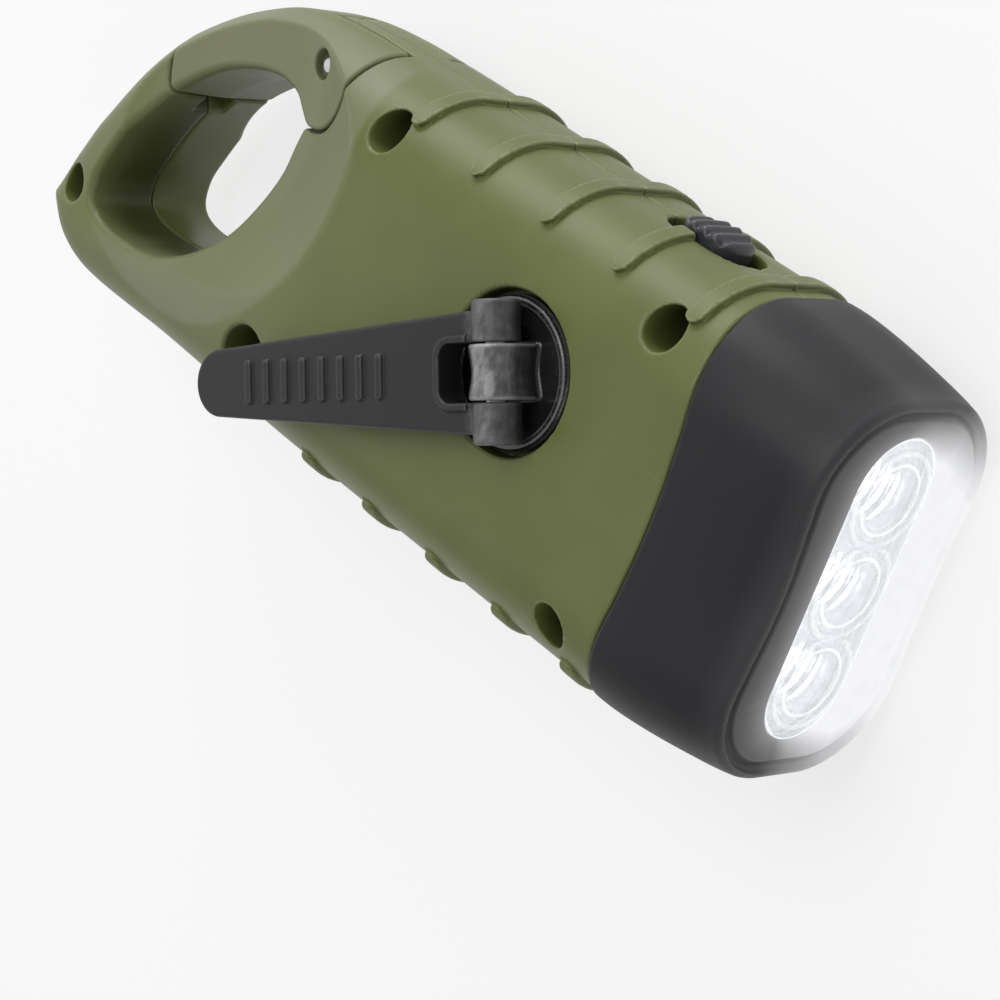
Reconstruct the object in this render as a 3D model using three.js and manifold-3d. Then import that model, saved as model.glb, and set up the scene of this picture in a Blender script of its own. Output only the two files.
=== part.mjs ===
// Hand crank flashlight with a carabiner clip. An olive housing in two halves carries a dark head with
// three lamps, a folding crank on one face, a solar panel on the other, a slide switch on one edge and a
// sprung gate. Inside are the step-up gears, the dynamo, the cells and the boards.
// Millimetres. It lies on the solar panel's frame: +X to the lens, +Y to the switch edge, +Z up to the crank.
// Inside the group, x counts from the lens rim (so it is negative) and z from the housing's parting plane.
import * as THREE from "three";
import { mergeVertices } from "three/addons/utils/BufferGeometryUtils.js";
import Module from "manifold-3d";

const wasm = await Module();
wasm.setup();

// Fits shared by all pieces
const gap = 0.3; // between pieces that pass each other or are cut by each other
const runningGap = 0.05; // radial, a shaft in its bore
const seatGap = 0.05; // between a piece and the flat that it sits on
const partingGap = 0.1; // hairline between the two housing halves
const overrun = 40; // how far a cutter runs past what it cuts

// Housing
const barrelLength = 73; // the straight part, from the lens rim
const clipLength = 65;
const halfWidth = 24.5;
const halfThickness = 15.3;
const wall = 1.9;
const cornerShare = 0.784; // edge radius as a share of the half thickness
const solidClip = 62; // the clip is solid this far from its end
// Each row: place along the clip, upper edge and lower edge as shares of the half width, thickness share
const clipShares = [
  [0, 1, -1, 1],
  [0.108, 1, -1, 0.985],
  [0.204, 1, -1, 0.94],
  [0.293, 0.997, -1, 0.89],
  [0.399, 0.972, -1, 0.83],
  [0.499, 0.905, -1, 0.784],
  [0.569, 0.82, -1.003, 0.752],
  [0.631, 0.725, -1.01, 0.725],
  [0.692, 0.61, -1.015, 0.7],
  [0.739, 0.508, -1.018, 0.68],
  [0.785, 0.38, -1.018, 0.66],
  [0.83, 0.23, -1.01, 0.647],
  [0.868, 0.075, -0.99, 0.634],
  [0.9, -0.07, -0.96, 0.62],
  [0.924, -0.18, -0.928, 0.608],
  [0.946, -0.305, -0.885, 0.585],
  [0.966, -0.427, -0.833, 0.552],
  [0.982, -0.54, -0.785, 0.505],
  [0.992, -0.607, -0.748, 0.44],
  [1, -0.655, -0.707, 0.36],
];

// Clip: the dished faces round it, its hole and the gate. Places along it are from its end.
const dishPlace = 29.2;
const dishY = 12;
const dishRadius = 32;
const dishFloorRadius = 17;
const dishDepth = 6.8;
const holePlace = 27.7;
const holeY = -0.5;
const holeHalfLength = 17;
const holeHalfWidth = 14.5;
// The hole's rim as shares of its half length (to the back) and half width, from the corner by the heel seam
const holeShares = [
  [-1.003, 0.831],
  [-0.906, 0.917],
  [-0.812, 1.007],
  [-0.67, 1.05],
  [-0.5, 1.04],
  [-0.235, 0.95],
  [0.03, 0.8],
  [0.27, 0.59],
  [0.47, 0.37],
  [0.69, 0],
  [0.84, -0.39],
  [0.92, -0.68],
  [0.89, -0.89],
  [0.735, -0.985],
  [0.35, -0.99],
  [-0.06, -0.9],
  [-0.38, -0.7],
  [-0.65, -0.39],
  [-0.82, -0.01],
  [-0.94, 0.37],
  [-0.97, 0.64],
];
const gatePinPlace = 45.2;
const gatePinInset = 5; // from the switch edge
const gatePinRadius = 1.2;
const gatePinSink = 0.8; // how far the pin's ends lie below the gate's faces
const gatePinRise = 0.5; // the gate's faces at the pin, above the dish's floor
const counterboreRadius = 1.8;
const heelRadius = 8;
const gateReach = 30; // from the pin to the tip seam
const gateSwing = 26; // degrees
const noseLength = 2; // the gate's nose at mid height, which sits in a notch in the hook
const noseHalf = 2.4;
const noseInner = -153; // degrees round the pin, the nose's inner and outer sides
const noseOuter = -159;
const gateCornerPlace = 53; // where the seam leaves the heel for the edge
const tongueHalf = 3; // half thickness of the housing's tongue between the gate's cheeks
const tongueRadius = 5.6;
const tongueEndPlace = 39.5;
const tongueStrip = 1; // thickness of the strip at its end
const springRadius = 2.6;
const springWire = 0.5;
const springTurns = 3;
const springLeg = 4.8;
const springPocketRadius = 4.2;
const springPocketHalf = 1.6;

// Grip ribs on both edges
const ribFirstX = -24;
const ribPitch = 12.1;
const ribCount = 5;
const ribWidth = 2;
const ribHeight = 0.7;
const ribUpperReach = 5; // how far in from the switch edge the ribs go
const ribLowerReach = 3;

// Head
const headLength = 20.2;
const headProud = 0.4; // how far the head stands proud of the housing
const headWall = 2;
const headFrontWall = 2.2;
const neckFront = 12;
const neckWall = 1.6;
// Each row: place along the head, width, thickness, and how far the middle is waisted
const headShares = [
  [0, 0.82, 0.62, 0.06],
  [0.02, 0.868, 0.695, 0.06],
  [0.06, 0.9, 0.745, 0.055],
  [0.125, 0.92, 0.78, 0.05],
  [0.3, 0.95, 0.855, 0.03],
  [0.6, 0.985, 0.95, 0.01],
  [0.85, 1, 0.995, 0],
  [1, 1, 1, 0],
];
const waistShare = 0.42; // reach of the waist as a share of the half width
const windowSideMargin = 6.9; // from the head's sides to the window
const windowFaceMargin = 8.7;
const windowDepth = 1.6;
const windowBevel = 1.5;
const lensThickness = 1.2;
const lensMargin = 1.2;
const reflectorLength = 6.2;
const lampCount = 3;
const cupRadius = 5.3;
const cupFootRadius = 3.2;
const cupDepth = 5.4;
const lampRadius = 2.5;
const lampFlangeRadius = 2.9;
const lampLength = 5.2;
const lampFlange = 1;
const lampBoard = 1.2;

// Screws and the round recess by the crank's tip
const screwHoleRadius = 2.5;
const screwSeat = 3.5; // height of the seat above the parting plane
const screwBossWall = 1;
const screwHeadRadius = 2;
const screwHead = 1.8;
const screwRadius = 1.25;
const screwDepth = 6; // below the parting plane
const screwPilotGap = 0.1;
const screwClearance = 0.3;
const headScrewX = -26;
const headScrewInset = 6.5; // from the edge
const gateScrewPlace = 63.6; // from the clip's end
const gateScrewInset = 5.7;
const endScrewPlace = 7.7;
const endScrewInset = 11.4;
const tipRecessPlace = 53.7;
const tipRecessInset = 8.3;
const tipRecessRadius = 4.75;
const tipRecessDepth = 8.3;

// Crank
const crankPlace = 30; // from the end of the straight part
const crankY = 4;
const crankAngle = 209; // degrees from +X, the way the folded arm points
const crankRecessRadius = 9.3;
const crankRecessDepth = 2.8;
const hubRadius = 8.7;
const hubSink = 0.6; // the hub's disc below the housing's face
const hubEdge = 0.5;
const shaftRadius = 2.5;
const bearingWall = 1.9;
const bearingLength = 3.5;
const hingeX = -1.3; // from the hub's axis, towards the arm's tip where above zero
const hingeRise = 2.8; // above the housing's face
const knuckleRadius = 3.1;
const barrelRadius = 2.7; // of the arm's two barrels beside the hub's knuckle
const middleKnuckle = 6.1;
const hingeLength = 15.8;
const hingePinRadius = 1.2;
const armReach = 47.7;
const armThickness = 3.4;
const armHalfWidth = 6.9;
const armTipRadius = 4;
const armSlotEnd = 5.8;
const armChannelDepth = 1.7;
const armChannelWall = 1.5;
const armChannelStart = 12;
const gripBarCount = 8;
const gripBarFirst = 15;
const gripBarPitch = 3.2;
const gripBarWidth = 1;
const gripBarLength = 5;
const gripBarHeight = 0.35;

// Gears: a wheel turns a pinion with fewer teeth, three times over
const toothModule = 0.75;
const wheelTeeth = 32;
const middleTeeth = 30;
const pinionTeeth = 10;
const pressureAngle = 20; // degrees
const profileShift = 0.42; // of the module, out on a pinion and in on a wheel
const backlash = 0.08;
const addendumShare = 0.85;
const dedendumShare = 1.25;
const flankPointTeeth = 20; // gears with fewer teeth than this have a point more on each flank
const gearThickness = 2.2;
const gearSpace = 0.5;
const plateThickness = 1.5;
const plateTop = -2.7;
const idlerAngle = -120; // degrees from +X, from each axis to the next
const secondAngle = 150;
const rotorAngle = 40;
const axleRadius = 0.8;
const collarRadius = 1.8;
const gearHubRadius = 4;
const axleBossRadius = 2.2;

// Dynamo
const rotorRadius = 6;
const rotorHeight = 4.6;
const rotorShaftRadius = 0.9;
const statorInner = 6.8;
const statorOuter = 10.3;
const statorHeight = 6.2;
const statorPlate = 0.8;

// Boards, cells, switch
const boardThickness = 1.2;
const boardFront = -23;
const boardBack = -37;
const boardLow = -9;
const boardHigh = 14;
const boardRise = 2.95; // of its top, above the inner floor
const chipLength = 6;
const chipWidth = 4;
const chipHeight = 1.4;
const cellRadius = 5.75;
const cellLength = 5.2;
const cellCount = 3;
const cellFirstX = -31;
const cellInset = 8.7; // from the edge to the cells' axis
const cellEdge = 0.5;
const switchX = -34.5;
const switchTravel = 2;
const buttonLength = 9;
const buttonHeight = 6.6;
const buttonProud = 1.5;
const buttonFlange = 0.9;
const buttonRidges = 4;
const buttonRidgeDepth = 0.5;
const flangeLength = 8.2;
const flangeHeight = 8.8;
const stemSize = 3;
const switchLength = 7;
const switchDepth = 4.3;
const switchHeight = 5;
const switchInset = 9; // from the edge to its back
const postRadius = 2;

// Solar panel
const frameFront = -24.4;
const frameEndMargin = 0.5; // from the frame to the end of the straight part
const frameBulge = 3.7;
const frameHalfWidth = 16.3;
const frameCorner = 3;
const frameProud = 0.5;
const frameThickness = 2.5;
const frameBevel = 0.6;
const frameFrontWidth = 5.1; // of the frame's sides round its window
const frameBackWidth = 4.5;
const frameSideWidth = 6;
const windowSlope = 1.5; // how much wider the frame's window is at its rim
const windowStep = 0.7; // depth of the window's sloped part
const solarLip = 1.2; // how far the cell runs under the frame
const solarCellTop = 1.5; // below the frame's rim
const solarCellThickness = 0.8;

// Sizes that follow from the ones above
const bodyLength = barrelLength + clipLength;
const cavityEnd = bodyLength - solidClip;
const dishX = dishPlace - bodyLength;
const dishFloor = halfThickness - dishDepth;
const holeX = holePlace - bodyLength;
const gatePinX = gatePinPlace - bodyLength;
const gatePinY = halfWidth - gatePinInset;
const gateFace = dishFloor + gatePinRise;
const gateCornerX = gateCornerPlace - bodyLength;
const tongueEndX = tongueEndPlace - bodyLength;
const tipRecessX = tipRecessPlace - bodyLength;
const tipRecessY = tipRecessInset - halfWidth;
const headHalfWidth = halfWidth + headProud;
const headHalfThickness = halfThickness + headProud;
const windowHalfWidth = headHalfWidth - windowSideMargin;
const windowHalfHeight = headHalfThickness - windowFaceMargin;
const lampPitch = windowHalfWidth - windowHalfHeight;
const crankX = crankPlace - barrelLength;
const crankRecessFloor = halfThickness - crankRecessDepth;
const hubTop = halfThickness - hubSink;
const bearingEnd = crankRecessFloor - bearingLength;
const hingeZ = halfThickness + hingeRise;
const frameBack = frameEndMargin - barrelLength;
const cellWindowFront = frameFront - frameFrontWidth;
const cellWindowBack = frameBack + frameBackWidth;
const cellWindowHalf = frameHalfWidth - frameSideWidth;
const restZ = halfThickness + frameProud;
const headSeam = headLength + gap;
const boardFace = headFrontWall + lensThickness + reflectorLength + 3 * seatGap;
const levelC = plateTop + gearSpace;
const levelB = levelC + gearThickness + gearSpace;
const levelA = levelB + gearThickness + gearSpace;
const levelTop = levelA + gearThickness;
const solarFloor = -restZ + frameThickness + seatGap;
const innerFloor = solarFloor + wall;
const boardTop = innerFloor + boardRise;
const cellY = cellInset - halfWidth;
const cellZ = innerFloor + cellRadius;
const switchBack = halfWidth - switchInset;
const dynamoFloor = innerFloor + seatGap;
const smallRound = 12; // sides of pins and screws
const midRound = 20;
const largeRound = 36;

const radians = THREE.MathUtils.degToRad;

// Solids from geometries, and meshes from solids
function solidOf(geometry) {
  const bare = geometry.index ? geometry.toNonIndexed() : geometry.clone();
  bare.deleteAttribute("normal");
  bare.deleteAttribute("uv");
  const merged = mergeVertices(bare);
  return new wasm.Manifold(
    new wasm.Mesh({
      numProp: 3,
      vertProperties: merged.attributes.position.array,
      triVerts: new Uint32Array(merged.index.array),
    }),
  );
}

function join(...solids) {
  return solids.flat().reduce((whole, solid) => whole.add(solid));
}

function cut(solid, ...cutters) {
  return cutters.flat().reduce((rest, cutter) => rest.subtract(cutter), solid);
}

function meshOf(name, solid, finish) {
  const raw = solid.getMesh();
  const geometry = new THREE.BufferGeometry();
  geometry.setAttribute("position", new THREE.BufferAttribute(new Float32Array(raw.vertProperties), 3));
  geometry.setIndex(new THREE.BufferAttribute(new Uint32Array(raw.triVerts), 1));
  const flat = geometry.toNonIndexed();
  flat.computeVertexNormals();
  const mesh = new THREE.Mesh(flat, new THREE.MeshStandardMaterial(finish));
  mesh.name = name;
  return mesh;
}

// A solid upright prism of a THREE.Shape between two heights
function prism(shape, low, high, curveSegments = 8) {
  const settings = { depth: high - low, bevelEnabled: false, curveSegments };
  const geometry = new THREE.ExtrudeGeometry(shape, settings);
  return solidOf(geometry.translate(0, 0, low));
}

function outline(points) {
  return new THREE.Shape(points.map(([x, y]) => new THREE.Vector2(x, y)));
}

function block(xLow, xHigh, yLow, yHigh, zLow, zHigh) {
  const geometry = new THREE.BoxGeometry(xHigh - xLow, yHigh - yLow, zHigh - zLow);
  return solidOf(geometry.translate((xLow + xHigh) / 2, (yLow + yHigh) / 2, (zLow + zHigh) / 2));
}

// An upright round rod
function rod(x, y, radius, low, high, sides = midRound) {
  const geometry = new THREE.CylinderGeometry(radius, radius, high - low, sides);
  return solidOf(geometry.rotateX(radians(90)).translate(x, y, (low + high) / 2));
}

// A turned piece on an upright axis, from [radius, height] pairs that start and end on the axis
// or close a ring
function turned(profile, sides = midRound) {
  const points = profile.map(([radius, height]) => new THREE.Vector2(radius, height));
  return new THREE.LatheGeometry(points, sides).rotateX(radians(90));
}

// A closed skin over rings of points that follow each other, each running anticlockwise seen from the
// last ring
function loft(rings) {
  const count = rings[0].length;
  const positions = rings.flat();
  const faces = [];
  for (let i = 0; i + 1 < rings.length; i++) {
    for (let j = 0; j < count; j++) {
      const here = i * count + j;
      const next = i * count + ((j + 1) % count);
      faces.push(here, next, next + count, here, next + count, here + count);
    }
  }
  const ends = [
    [rings[0], 0, true],
    [rings.at(-1), (rings.length - 1) * count, false],
  ];
  for (const [ring, first, back] of ends) {
    const middle = positions.length;
    positions.push([0, 1, 2].map((axis) => ring.reduce((sum, point) => sum + point[axis], 0) / count));
    for (let j = 0; j < count; j++) {
      const next = (j + 1) % count;
      faces.push(middle, first + (back ? next : j), first + (back ? j : next));
    }
  }
  const geometry = new THREE.BufferGeometry();
  geometry.setAttribute("position", new THREE.Float32BufferAttribute(positions.flat(), 3));
  geometry.setIndex(faces);
  return solidOf(geometry);
}

// A rounded rectangle of points, low to high across and up to half on either side
function roundedRing(low, high, half, corner, waist = 0, steps = 5) {
  const middle = (low + high) / 2;
  const across = (high - low) / 2;
  const nearlyFull = 0.97;
  const radius = Math.min(corner, half * nearlyFull, across * nearlyFull);
  const ring = [];
  for (let i = 0; i < 4 * (steps + 1); i++) {
    const quarter = Math.floor(i / (steps + 1));
    const angle = radians(90) * (quarter + (i % (steps + 1)) / steps);
    const sideA = quarter === 0 || quarter === 3 ? 1 : -1;
    const sideB = quarter < 2 ? 1 : -1;
    const a = middle + sideA * (across - radius) + radius * Math.cos(angle);
    const b = sideB * (half - radius) + radius * Math.sin(angle);
    const pinch = waist * Math.exp(-(((a - middle) / (across * waistShare)) ** 2));
    ring.push([a, b * (1 - pinch)]);
  }
  return ring;
}

// A value row between the rows of a table of shares
function rowAt(table, place) {
  const next = table.findIndex((row) => row[0] >= place);
  if (next < 1) {
    return next === 0 ? table[0] : table.at(-1);
  }
  const part = (place - table[next - 1][0]) / (table[next][0] - table[next - 1][0]);
  return table[next].map((value, i) => table[next - 1][i] + part * (value - table[next - 1][i]));
}

// The housing's section at a distance behind the lens rim, moved in by an inset
function bodyRing(distance, inset = 0) {
  const [, upper, lower, thickness] = rowAt(clipShares, (distance - barrelLength) / clipLength);
  const half = halfThickness * thickness;
  const corner = half * cornerShare - inset;
  const ring = roundedRing(halfWidth * lower + inset, halfWidth * upper - inset, half - inset, corner);
  return ring.map(([y, z]) => [-distance, y, z]);
}

function headRing(distance, inset = 0) {
  const [, width, thickness, waist] = rowAt(headShares, distance / headLength);
  const half = headHalfThickness * thickness;
  const across = headHalfWidth * width - inset;
  const ring = roundedRing(-across, across, half - inset, half * cornerShare - inset, waist);
  return ring.map(([y, z]) => [-distance, y, z]);
}

function bodyLoft(distances, inset) {
  return loft(distances.map((distance) => bodyRing(distance, inset)));
}

function headLoft(distances, inset) {
  return loft(distances.map((distance) => headRing(distance, inset)));
}

// The clip's hole, as a smooth closed curve
function holeShape() {
  const points = holeShares.map(
    ([back, across]) => new THREE.Vector2(holeX - back * holeHalfLength, holeY + across * holeHalfWidth),
  );
  const curve = new THREE.SplineCurve([...points, points[0]]);
  return new THREE.Shape(curve.getPoints(largeRound).slice(0, -1));
}

// A point at an angle and distance from the gate's pin
function fromPin(degrees, distance) {
  const angle = radians(degrees);
  return [gatePinX + distance * Math.cos(angle), gatePinY + distance * Math.sin(angle)];
}

// What the gate takes of the clip, seen from above, grown or shrunk on the seams
function gateShape(grow) {
  const points = [];
  const heel = heelRadius + grow;
  const corner = [gateCornerX + grow, halfWidth];
  const cornerAngle = THREE.MathUtils.radToDeg(Math.atan2(corner[1] - gatePinY, corner[0] - gatePinX));
  const cornerDistance = Math.hypot(corner[0] - gatePinX, corner[1] - gatePinY);
  const heelStart = cornerAngle - THREE.MathUtils.radToDeg(Math.acos(heel / cornerDistance));
  points.push([corner[0], overrun], corner);
  const heelSteps = 14;
  const heelEnd = -125;
  for (let i = 0; i <= heelSteps; i++) {
    points.push(fromPin(heelStart + ((heelEnd - heelStart) * i) / heelSteps, heel));
  }
  points.push([holeX, holeY]);
  const tipSteps = 8;
  const tipInner = -140;
  const tipOuter = -175;
  for (let i = 0; i <= tipSteps; i++) {
    points.push(fromPin(tipInner + ((tipOuter - tipInner) * i) / tipSteps, gateReach + grow));
  }
  points.push([-overrun + gatePinX, overrun]);
  return outline(points.reverse());
}

// The nose on the gate's tip, grown or shrunk like the gate; its notch is swept along the swing
function gateNose(grow, swing = 0) {
  const spread = THREE.MathUtils.radToDeg(grow / gateReach);
  const inner = noseInner + spread + swing;
  const outer = noseOuter - spread;
  const steps = 6;
  const near = [];
  const far = [];
  for (let i = 0; i <= steps; i++) {
    const angle = outer + ((inner - outer) * i) / steps;
    near.push(fromPin(angle, gateReach - noseLength));
    far.push(fromPin(angle, gateReach + noseLength + grow));
  }
  return prism(outline([...far, ...near.reverse()]), -noseHalf - grow, noseHalf + grow);
}

// The housing's tongue between the gate's cheeks: a lug round the pin and a strip along the edge
function tongue(half) {
  const strip = outline([
    [gateCornerX + heelRadius, gatePinY - tongueRadius],
    [gateCornerX + heelRadius, overrun],
    [tongueEndX, overrun],
    [tongueEndX, halfWidth - tongueStrip],
    [gatePinX - tongueRadius / 2, gatePinY],
    [gatePinX, gatePinY - tongueRadius / 2],
  ].reverse());
  return join(prism(strip, -half, half), rod(gatePinX, gatePinY, tongueRadius, -half, half));
}

// The slot in the gate that clears the tongue through the whole swing
function gateSlot() {
  const half = tongueHalf + gap;
  const rear = -40;
  const front = 150;
  const first = rear - gateSwing;
  const spread = 6;
  const wedge = [[gatePinX, gatePinY]];
  for (let i = 0; i <= spread; i++) {
    wedge.push(fromPin(first + ((front - first) * i) / spread, overrun));
  }
  return join(prism(outline(wedge), -half, half), rod(gatePinX, gatePinY, tongueRadius + gap, -half, half));
}

function dishCutter(side) {
  const rise = (halfThickness - dishFloor) / (dishRadius - dishFloorRadius);
  const reach = dishRadius + wall;
  const profile = [
    [0, dishFloor],
    [dishFloorRadius, dishFloor],
    [reach, dishFloor + rise * (reach - dishFloorRadius)],
    [reach, overrun],
    [0, overrun],
  ];
  const solid = solidOf(turned(profile, largeRound).translate(dishX, dishY, 0));
  return side > 0 ? solid : solid.mirror([0, 0, 1]);
}

// The clip and housing as one solid, before anything inside is cut
function outerForm() {
  const distances = clipShares.map(([place]) => barrelLength + place * clipLength);
  const main = bodyLoft([...distances.reverse(), headSeam], 0);
  return cut(main, dishCutter(1), dishCutter(-1), prism(holeShape(), -overrun, overrun));
}

// A rounded bar across one edge, as high as the rib stands
function ribs() {
  const bars = [];
  for (let i = 0; i < ribCount; i++) {
    const x = ribFirstX - i * ribPitch;
    const band = loft([bodyRing(-x + ribWidth / 2, -ribHeight), bodyRing(-x - ribWidth / 2, -ribHeight)]);
    for (const [side, reach] of [[1, ribUpperReach], [-1, ribLowerReach]]) {
      const end = halfWidth - reach;
      const plan = new THREE.Shape();
      plan.moveTo(x + ribWidth / 2, overrun);
      plan.lineTo(x - ribWidth / 2, overrun);
      plan.lineTo(x - ribWidth / 2, end + ribWidth / 2);
      plan.absarc(x, end + ribWidth / 2, ribWidth / 2, Math.PI, 2 * Math.PI, false);
      const capsule = prism(plan, -halfThickness - overrun, halfThickness + overrun, 4);
      bars.push(band.intersect(side > 0 ? capsule : capsule.mirror([0, 1, 0])));
    }
  }
  return bars;
}

function cavity() {
  return bodyLoft([cavityEnd, cavityEnd - halfThickness, headSeam + wall, headSeam - gap], wall);
}

// The housing's neck inside the head, and its bore
function neck() {
  return headLoft([headSeam + wall, headLength, (headLength + neckFront) / 2, neckFront], headWall + gap);
}

function neckBore() {
  const inset = headWall + gap + neckWall;
  return headLoft([headSeam + 2 * wall, headLength, (headLength + neckFront) / 2, neckFront - gap], inset);
}

function switchSlot() {
  const half = buttonLength / 2 + switchTravel;
  const height = buttonHeight / 2 + gap;
  const slot = outline([
    [switchX - half, -height],
    [switchX + half, -height],
    [switchX + half, height],
    [switchX - half, height],
  ]);
  const geometry = new THREE.ExtrudeGeometry(slot, { depth: overrun, bevelEnabled: false });
  return solidOf(geometry.rotateX(radians(90)).translate(0, halfWidth - 2 * wall + overrun, 0));
}

// Screw places: x, y
function screwPlaces() {
  return [
    [headScrewX, halfWidth - headScrewInset],
    [headScrewX, headScrewInset - halfWidth],
    [gateScrewPlace - bodyLength, halfWidth - gateScrewInset],
    [endScrewPlace - bodyLength, endScrewInset - halfWidth],
  ];
}

// The stepped hole for one screw, from the crank face through the parting plane
function screwHole([x, y]) {
  const shank = screwRadius + screwClearance;
  return join(
    rod(x, y, screwHoleRadius, screwSeat, overrun, smallRound),
    rod(x, y, shank, -gap, screwSeat + gap, smallRound),
  );
}

// Centres of the gear axes, from the crank shaft to the rotor
function axes() {
  const first = (toothModule * (wheelTeeth + pinionTeeth)) / 2;
  const later = (toothModule * (middleTeeth + pinionTeeth)) / 2;
  const places = [[crankX, crankY]];
  for (const [degrees, distance] of [[idlerAngle, first], [secondAngle, 0], [rotorAngle, 0]]) {
    const [x, y] = places.at(-1);
    const step = distance || later;
    places.push([x + step * Math.cos(radians(degrees)), y + step * Math.sin(radians(degrees))]);
  }
  return places;
}

// The housing without what only one half has: shell, ribs, neck, tongue, gate pocket and switch slot
function housingForm(form) {
  const pocket = join(prism(gateShape(gap / 2), -overrun, overrun), gateNose(gap / 2, gateSwing));
  const hollow = cut(join(form, ribs(), neck()), cavity(), neckBore(), pocket, switchSlot());
  const springRoom = join(
    rod(gatePinX, gatePinY, springPocketRadius, -springPocketHalf, springPocketHalf),
    block(
      gatePinX - heelRadius, gatePinX,
      gatePinY - springRadius - springWire, gatePinY - springRadius + springWire,
      -springPocketHalf, 2 * springWire - springPocketHalf,
    ),
  );
  const pinBore = rod(gatePinX, gatePinY, gatePinRadius + runningGap, -overrun, overrun, smallRound);
  const solidForm = cut(form.intersect(tongue(tongueHalf)), springRoom);
  return cut(join(hollow, solidForm), pinBore);
}

function crankSideShell(form, housing) {
  const upper = block(-bodyLength - overrun, overrun, -overrun, overrun, partingGap / 2, overrun);
  const [[shaftX, shaftY], ...idlers] = axes();
  const inner = halfThickness - wall;
  const bosses = screwPlaces()
    .slice(0, 3)
    .map(([x, y]) => rod(x, y, screwHoleRadius + screwBossWall, partingGap / 2, inner));
  for (const [x, y] of idlers.slice(0, 2)) {
    bosses.push(rod(x, y, axleBossRadius, levelTop + gearSpace, inner + gap));
  }
  const ring = crankRecessRadius + wall;
  bosses.push(rod(shaftX, shaftY, ring, crankRecessFloor - wall, inner + gap, largeRound));
  bosses.push(rod(shaftX, shaftY, shaftRadius + bearingWall, bearingEnd, inner));
  const inside = bosses.map((boss) => boss.intersect(form));
  const cuts = [
    rod(shaftX, shaftY, crankRecessRadius, crankRecessFloor, overrun, largeRound),
    rod(shaftX, shaftY, shaftRadius + runningGap, 0, overrun, largeRound),
    rod(tipRecessX, tipRecessY, tipRecessRadius, halfThickness - tipRecessDepth, overrun, midRound),
    ...screwPlaces().map(screwHole),
    ...idlers.slice(0, 2).map(([x, y]) => rod(x, y, axleRadius + runningGap, 0, inner - gap, smallRound)),
  ];
  return cut(join(housing.intersect(upper), inside), cuts);
}

// The solar panel frame's outline, moved in by an inset
function framePlan(inset) {
  const front = frameFront - inset;
  const back = frameBack + inset;
  const half = frameHalfWidth - inset;
  const plan = new THREE.Shape();
  plan.moveTo(front, frameCorner - half);
  plan.lineTo(front, half - frameCorner);
  plan.quadraticCurveTo(front, half, front - frameCorner, half);
  plan.lineTo(back + frameCorner, half);
  plan.quadraticCurveTo(back, half, back - frameBulge / 4, half - frameCorner);
  plan.quadraticCurveTo(back - 2 * frameBulge, 0, back - frameBulge / 4, frameCorner - half);
  plan.quadraticCurveTo(back, -half, back + frameCorner, -half);
  plan.lineTo(front - frameCorner, -half);
  plan.quadraticCurveTo(front, -half, front, frameCorner - half);
  return plan;
}

// Places of the posts under the gear plate, beside the dynamo
function postPlaces() {
  const [, first, second, rotor] = axes();
  return [
    [crankX - postRadius * 2, crankY - statorOuter],
    [second[0] - postRadius, first[1] + postRadius],
    [second[0] - postRadius, rotor[1] + postRadius * 2],
  ];
}

function solarSideShell(form, housing) {
  const lower = block(-bodyLength - overrun, overrun, -overrun, overrun, -overrun, -partingGap / 2);
  const [, , , rotor] = axes();
  const bosses = screwPlaces()
    .slice(0, 3)
    .map(([x, y]) => rod(x, y, screwHoleRadius + screwBossWall, -halfThickness, -partingGap / 2));
  for (const [x, y] of postPlaces()) {
    bosses.push(rod(x, y, postRadius, -halfThickness, plateTop - plateThickness - seatGap));
  }
  const boardMiddle = (boardFront + boardBack) / 2;
  for (const y of [boardLow + postRadius, boardHigh - postRadius]) {
    bosses.push(rod(boardMiddle, y, postRadius, -halfThickness, boardTop - boardThickness - seatGap));
  }
  bosses.push(rod(rotor[0], rotor[1], rotorShaftRadius + wall, -halfThickness, dynamoFloor + gap));
  const shelfTop = -switchHeight / 2 - seatGap;
  const shelf = stemSize / 2;
  const shelfEnd = switchBack + switchDepth;
  bosses.push(block(switchX - shelf, switchX + shelf, switchBack, shelfEnd, -halfThickness, shelfTop));
  const bed = prism(framePlan(-gap - wall), -halfThickness, innerFloor).intersect(form);
  const inside = bosses.map((boss) => boss.intersect(form));
  const pilot = screwRadius + screwPilotGap;
  const cuts = [
    prism(framePlan(-gap), -overrun, solarFloor),
    rod(rotor[0], rotor[1], rotorShaftRadius + runningGap, dynamoFloor - gap, 0, smallRound),
    ...screwPlaces().map(([x, y]) => rod(x, y, pilot, -screwDepth - gap, gap, smallRound)),
  ];
  return cut(join(housing.intersect(lower), inside, bed), cuts);
}

// The gate: two cheeks on the pin that run together into a curved arm
function gate(form) {
  const blank = form.intersect(join(prism(gateShape(-gap / 2), -overrun, overrun), gateNose(-gap / 2)));
  const face = gateFace - gatePinSink;
  const bores = [
    rod(gatePinX, gatePinY, gatePinRadius + runningGap, -overrun, overrun, smallRound),
    rod(gatePinX, gatePinY, counterboreRadius, face - gatePinSink, overrun, smallRound),
    rod(gatePinX, gatePinY, counterboreRadius, -overrun, gatePinSink - face, smallRound),
  ];
  return cut(blank, gateSlot(), bores);
}

function gatePin() {
  const end = gateFace - gatePinSink;
  return rod(gatePinX, gatePinY, gatePinRadius, -end, end, smallRound);
}

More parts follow.
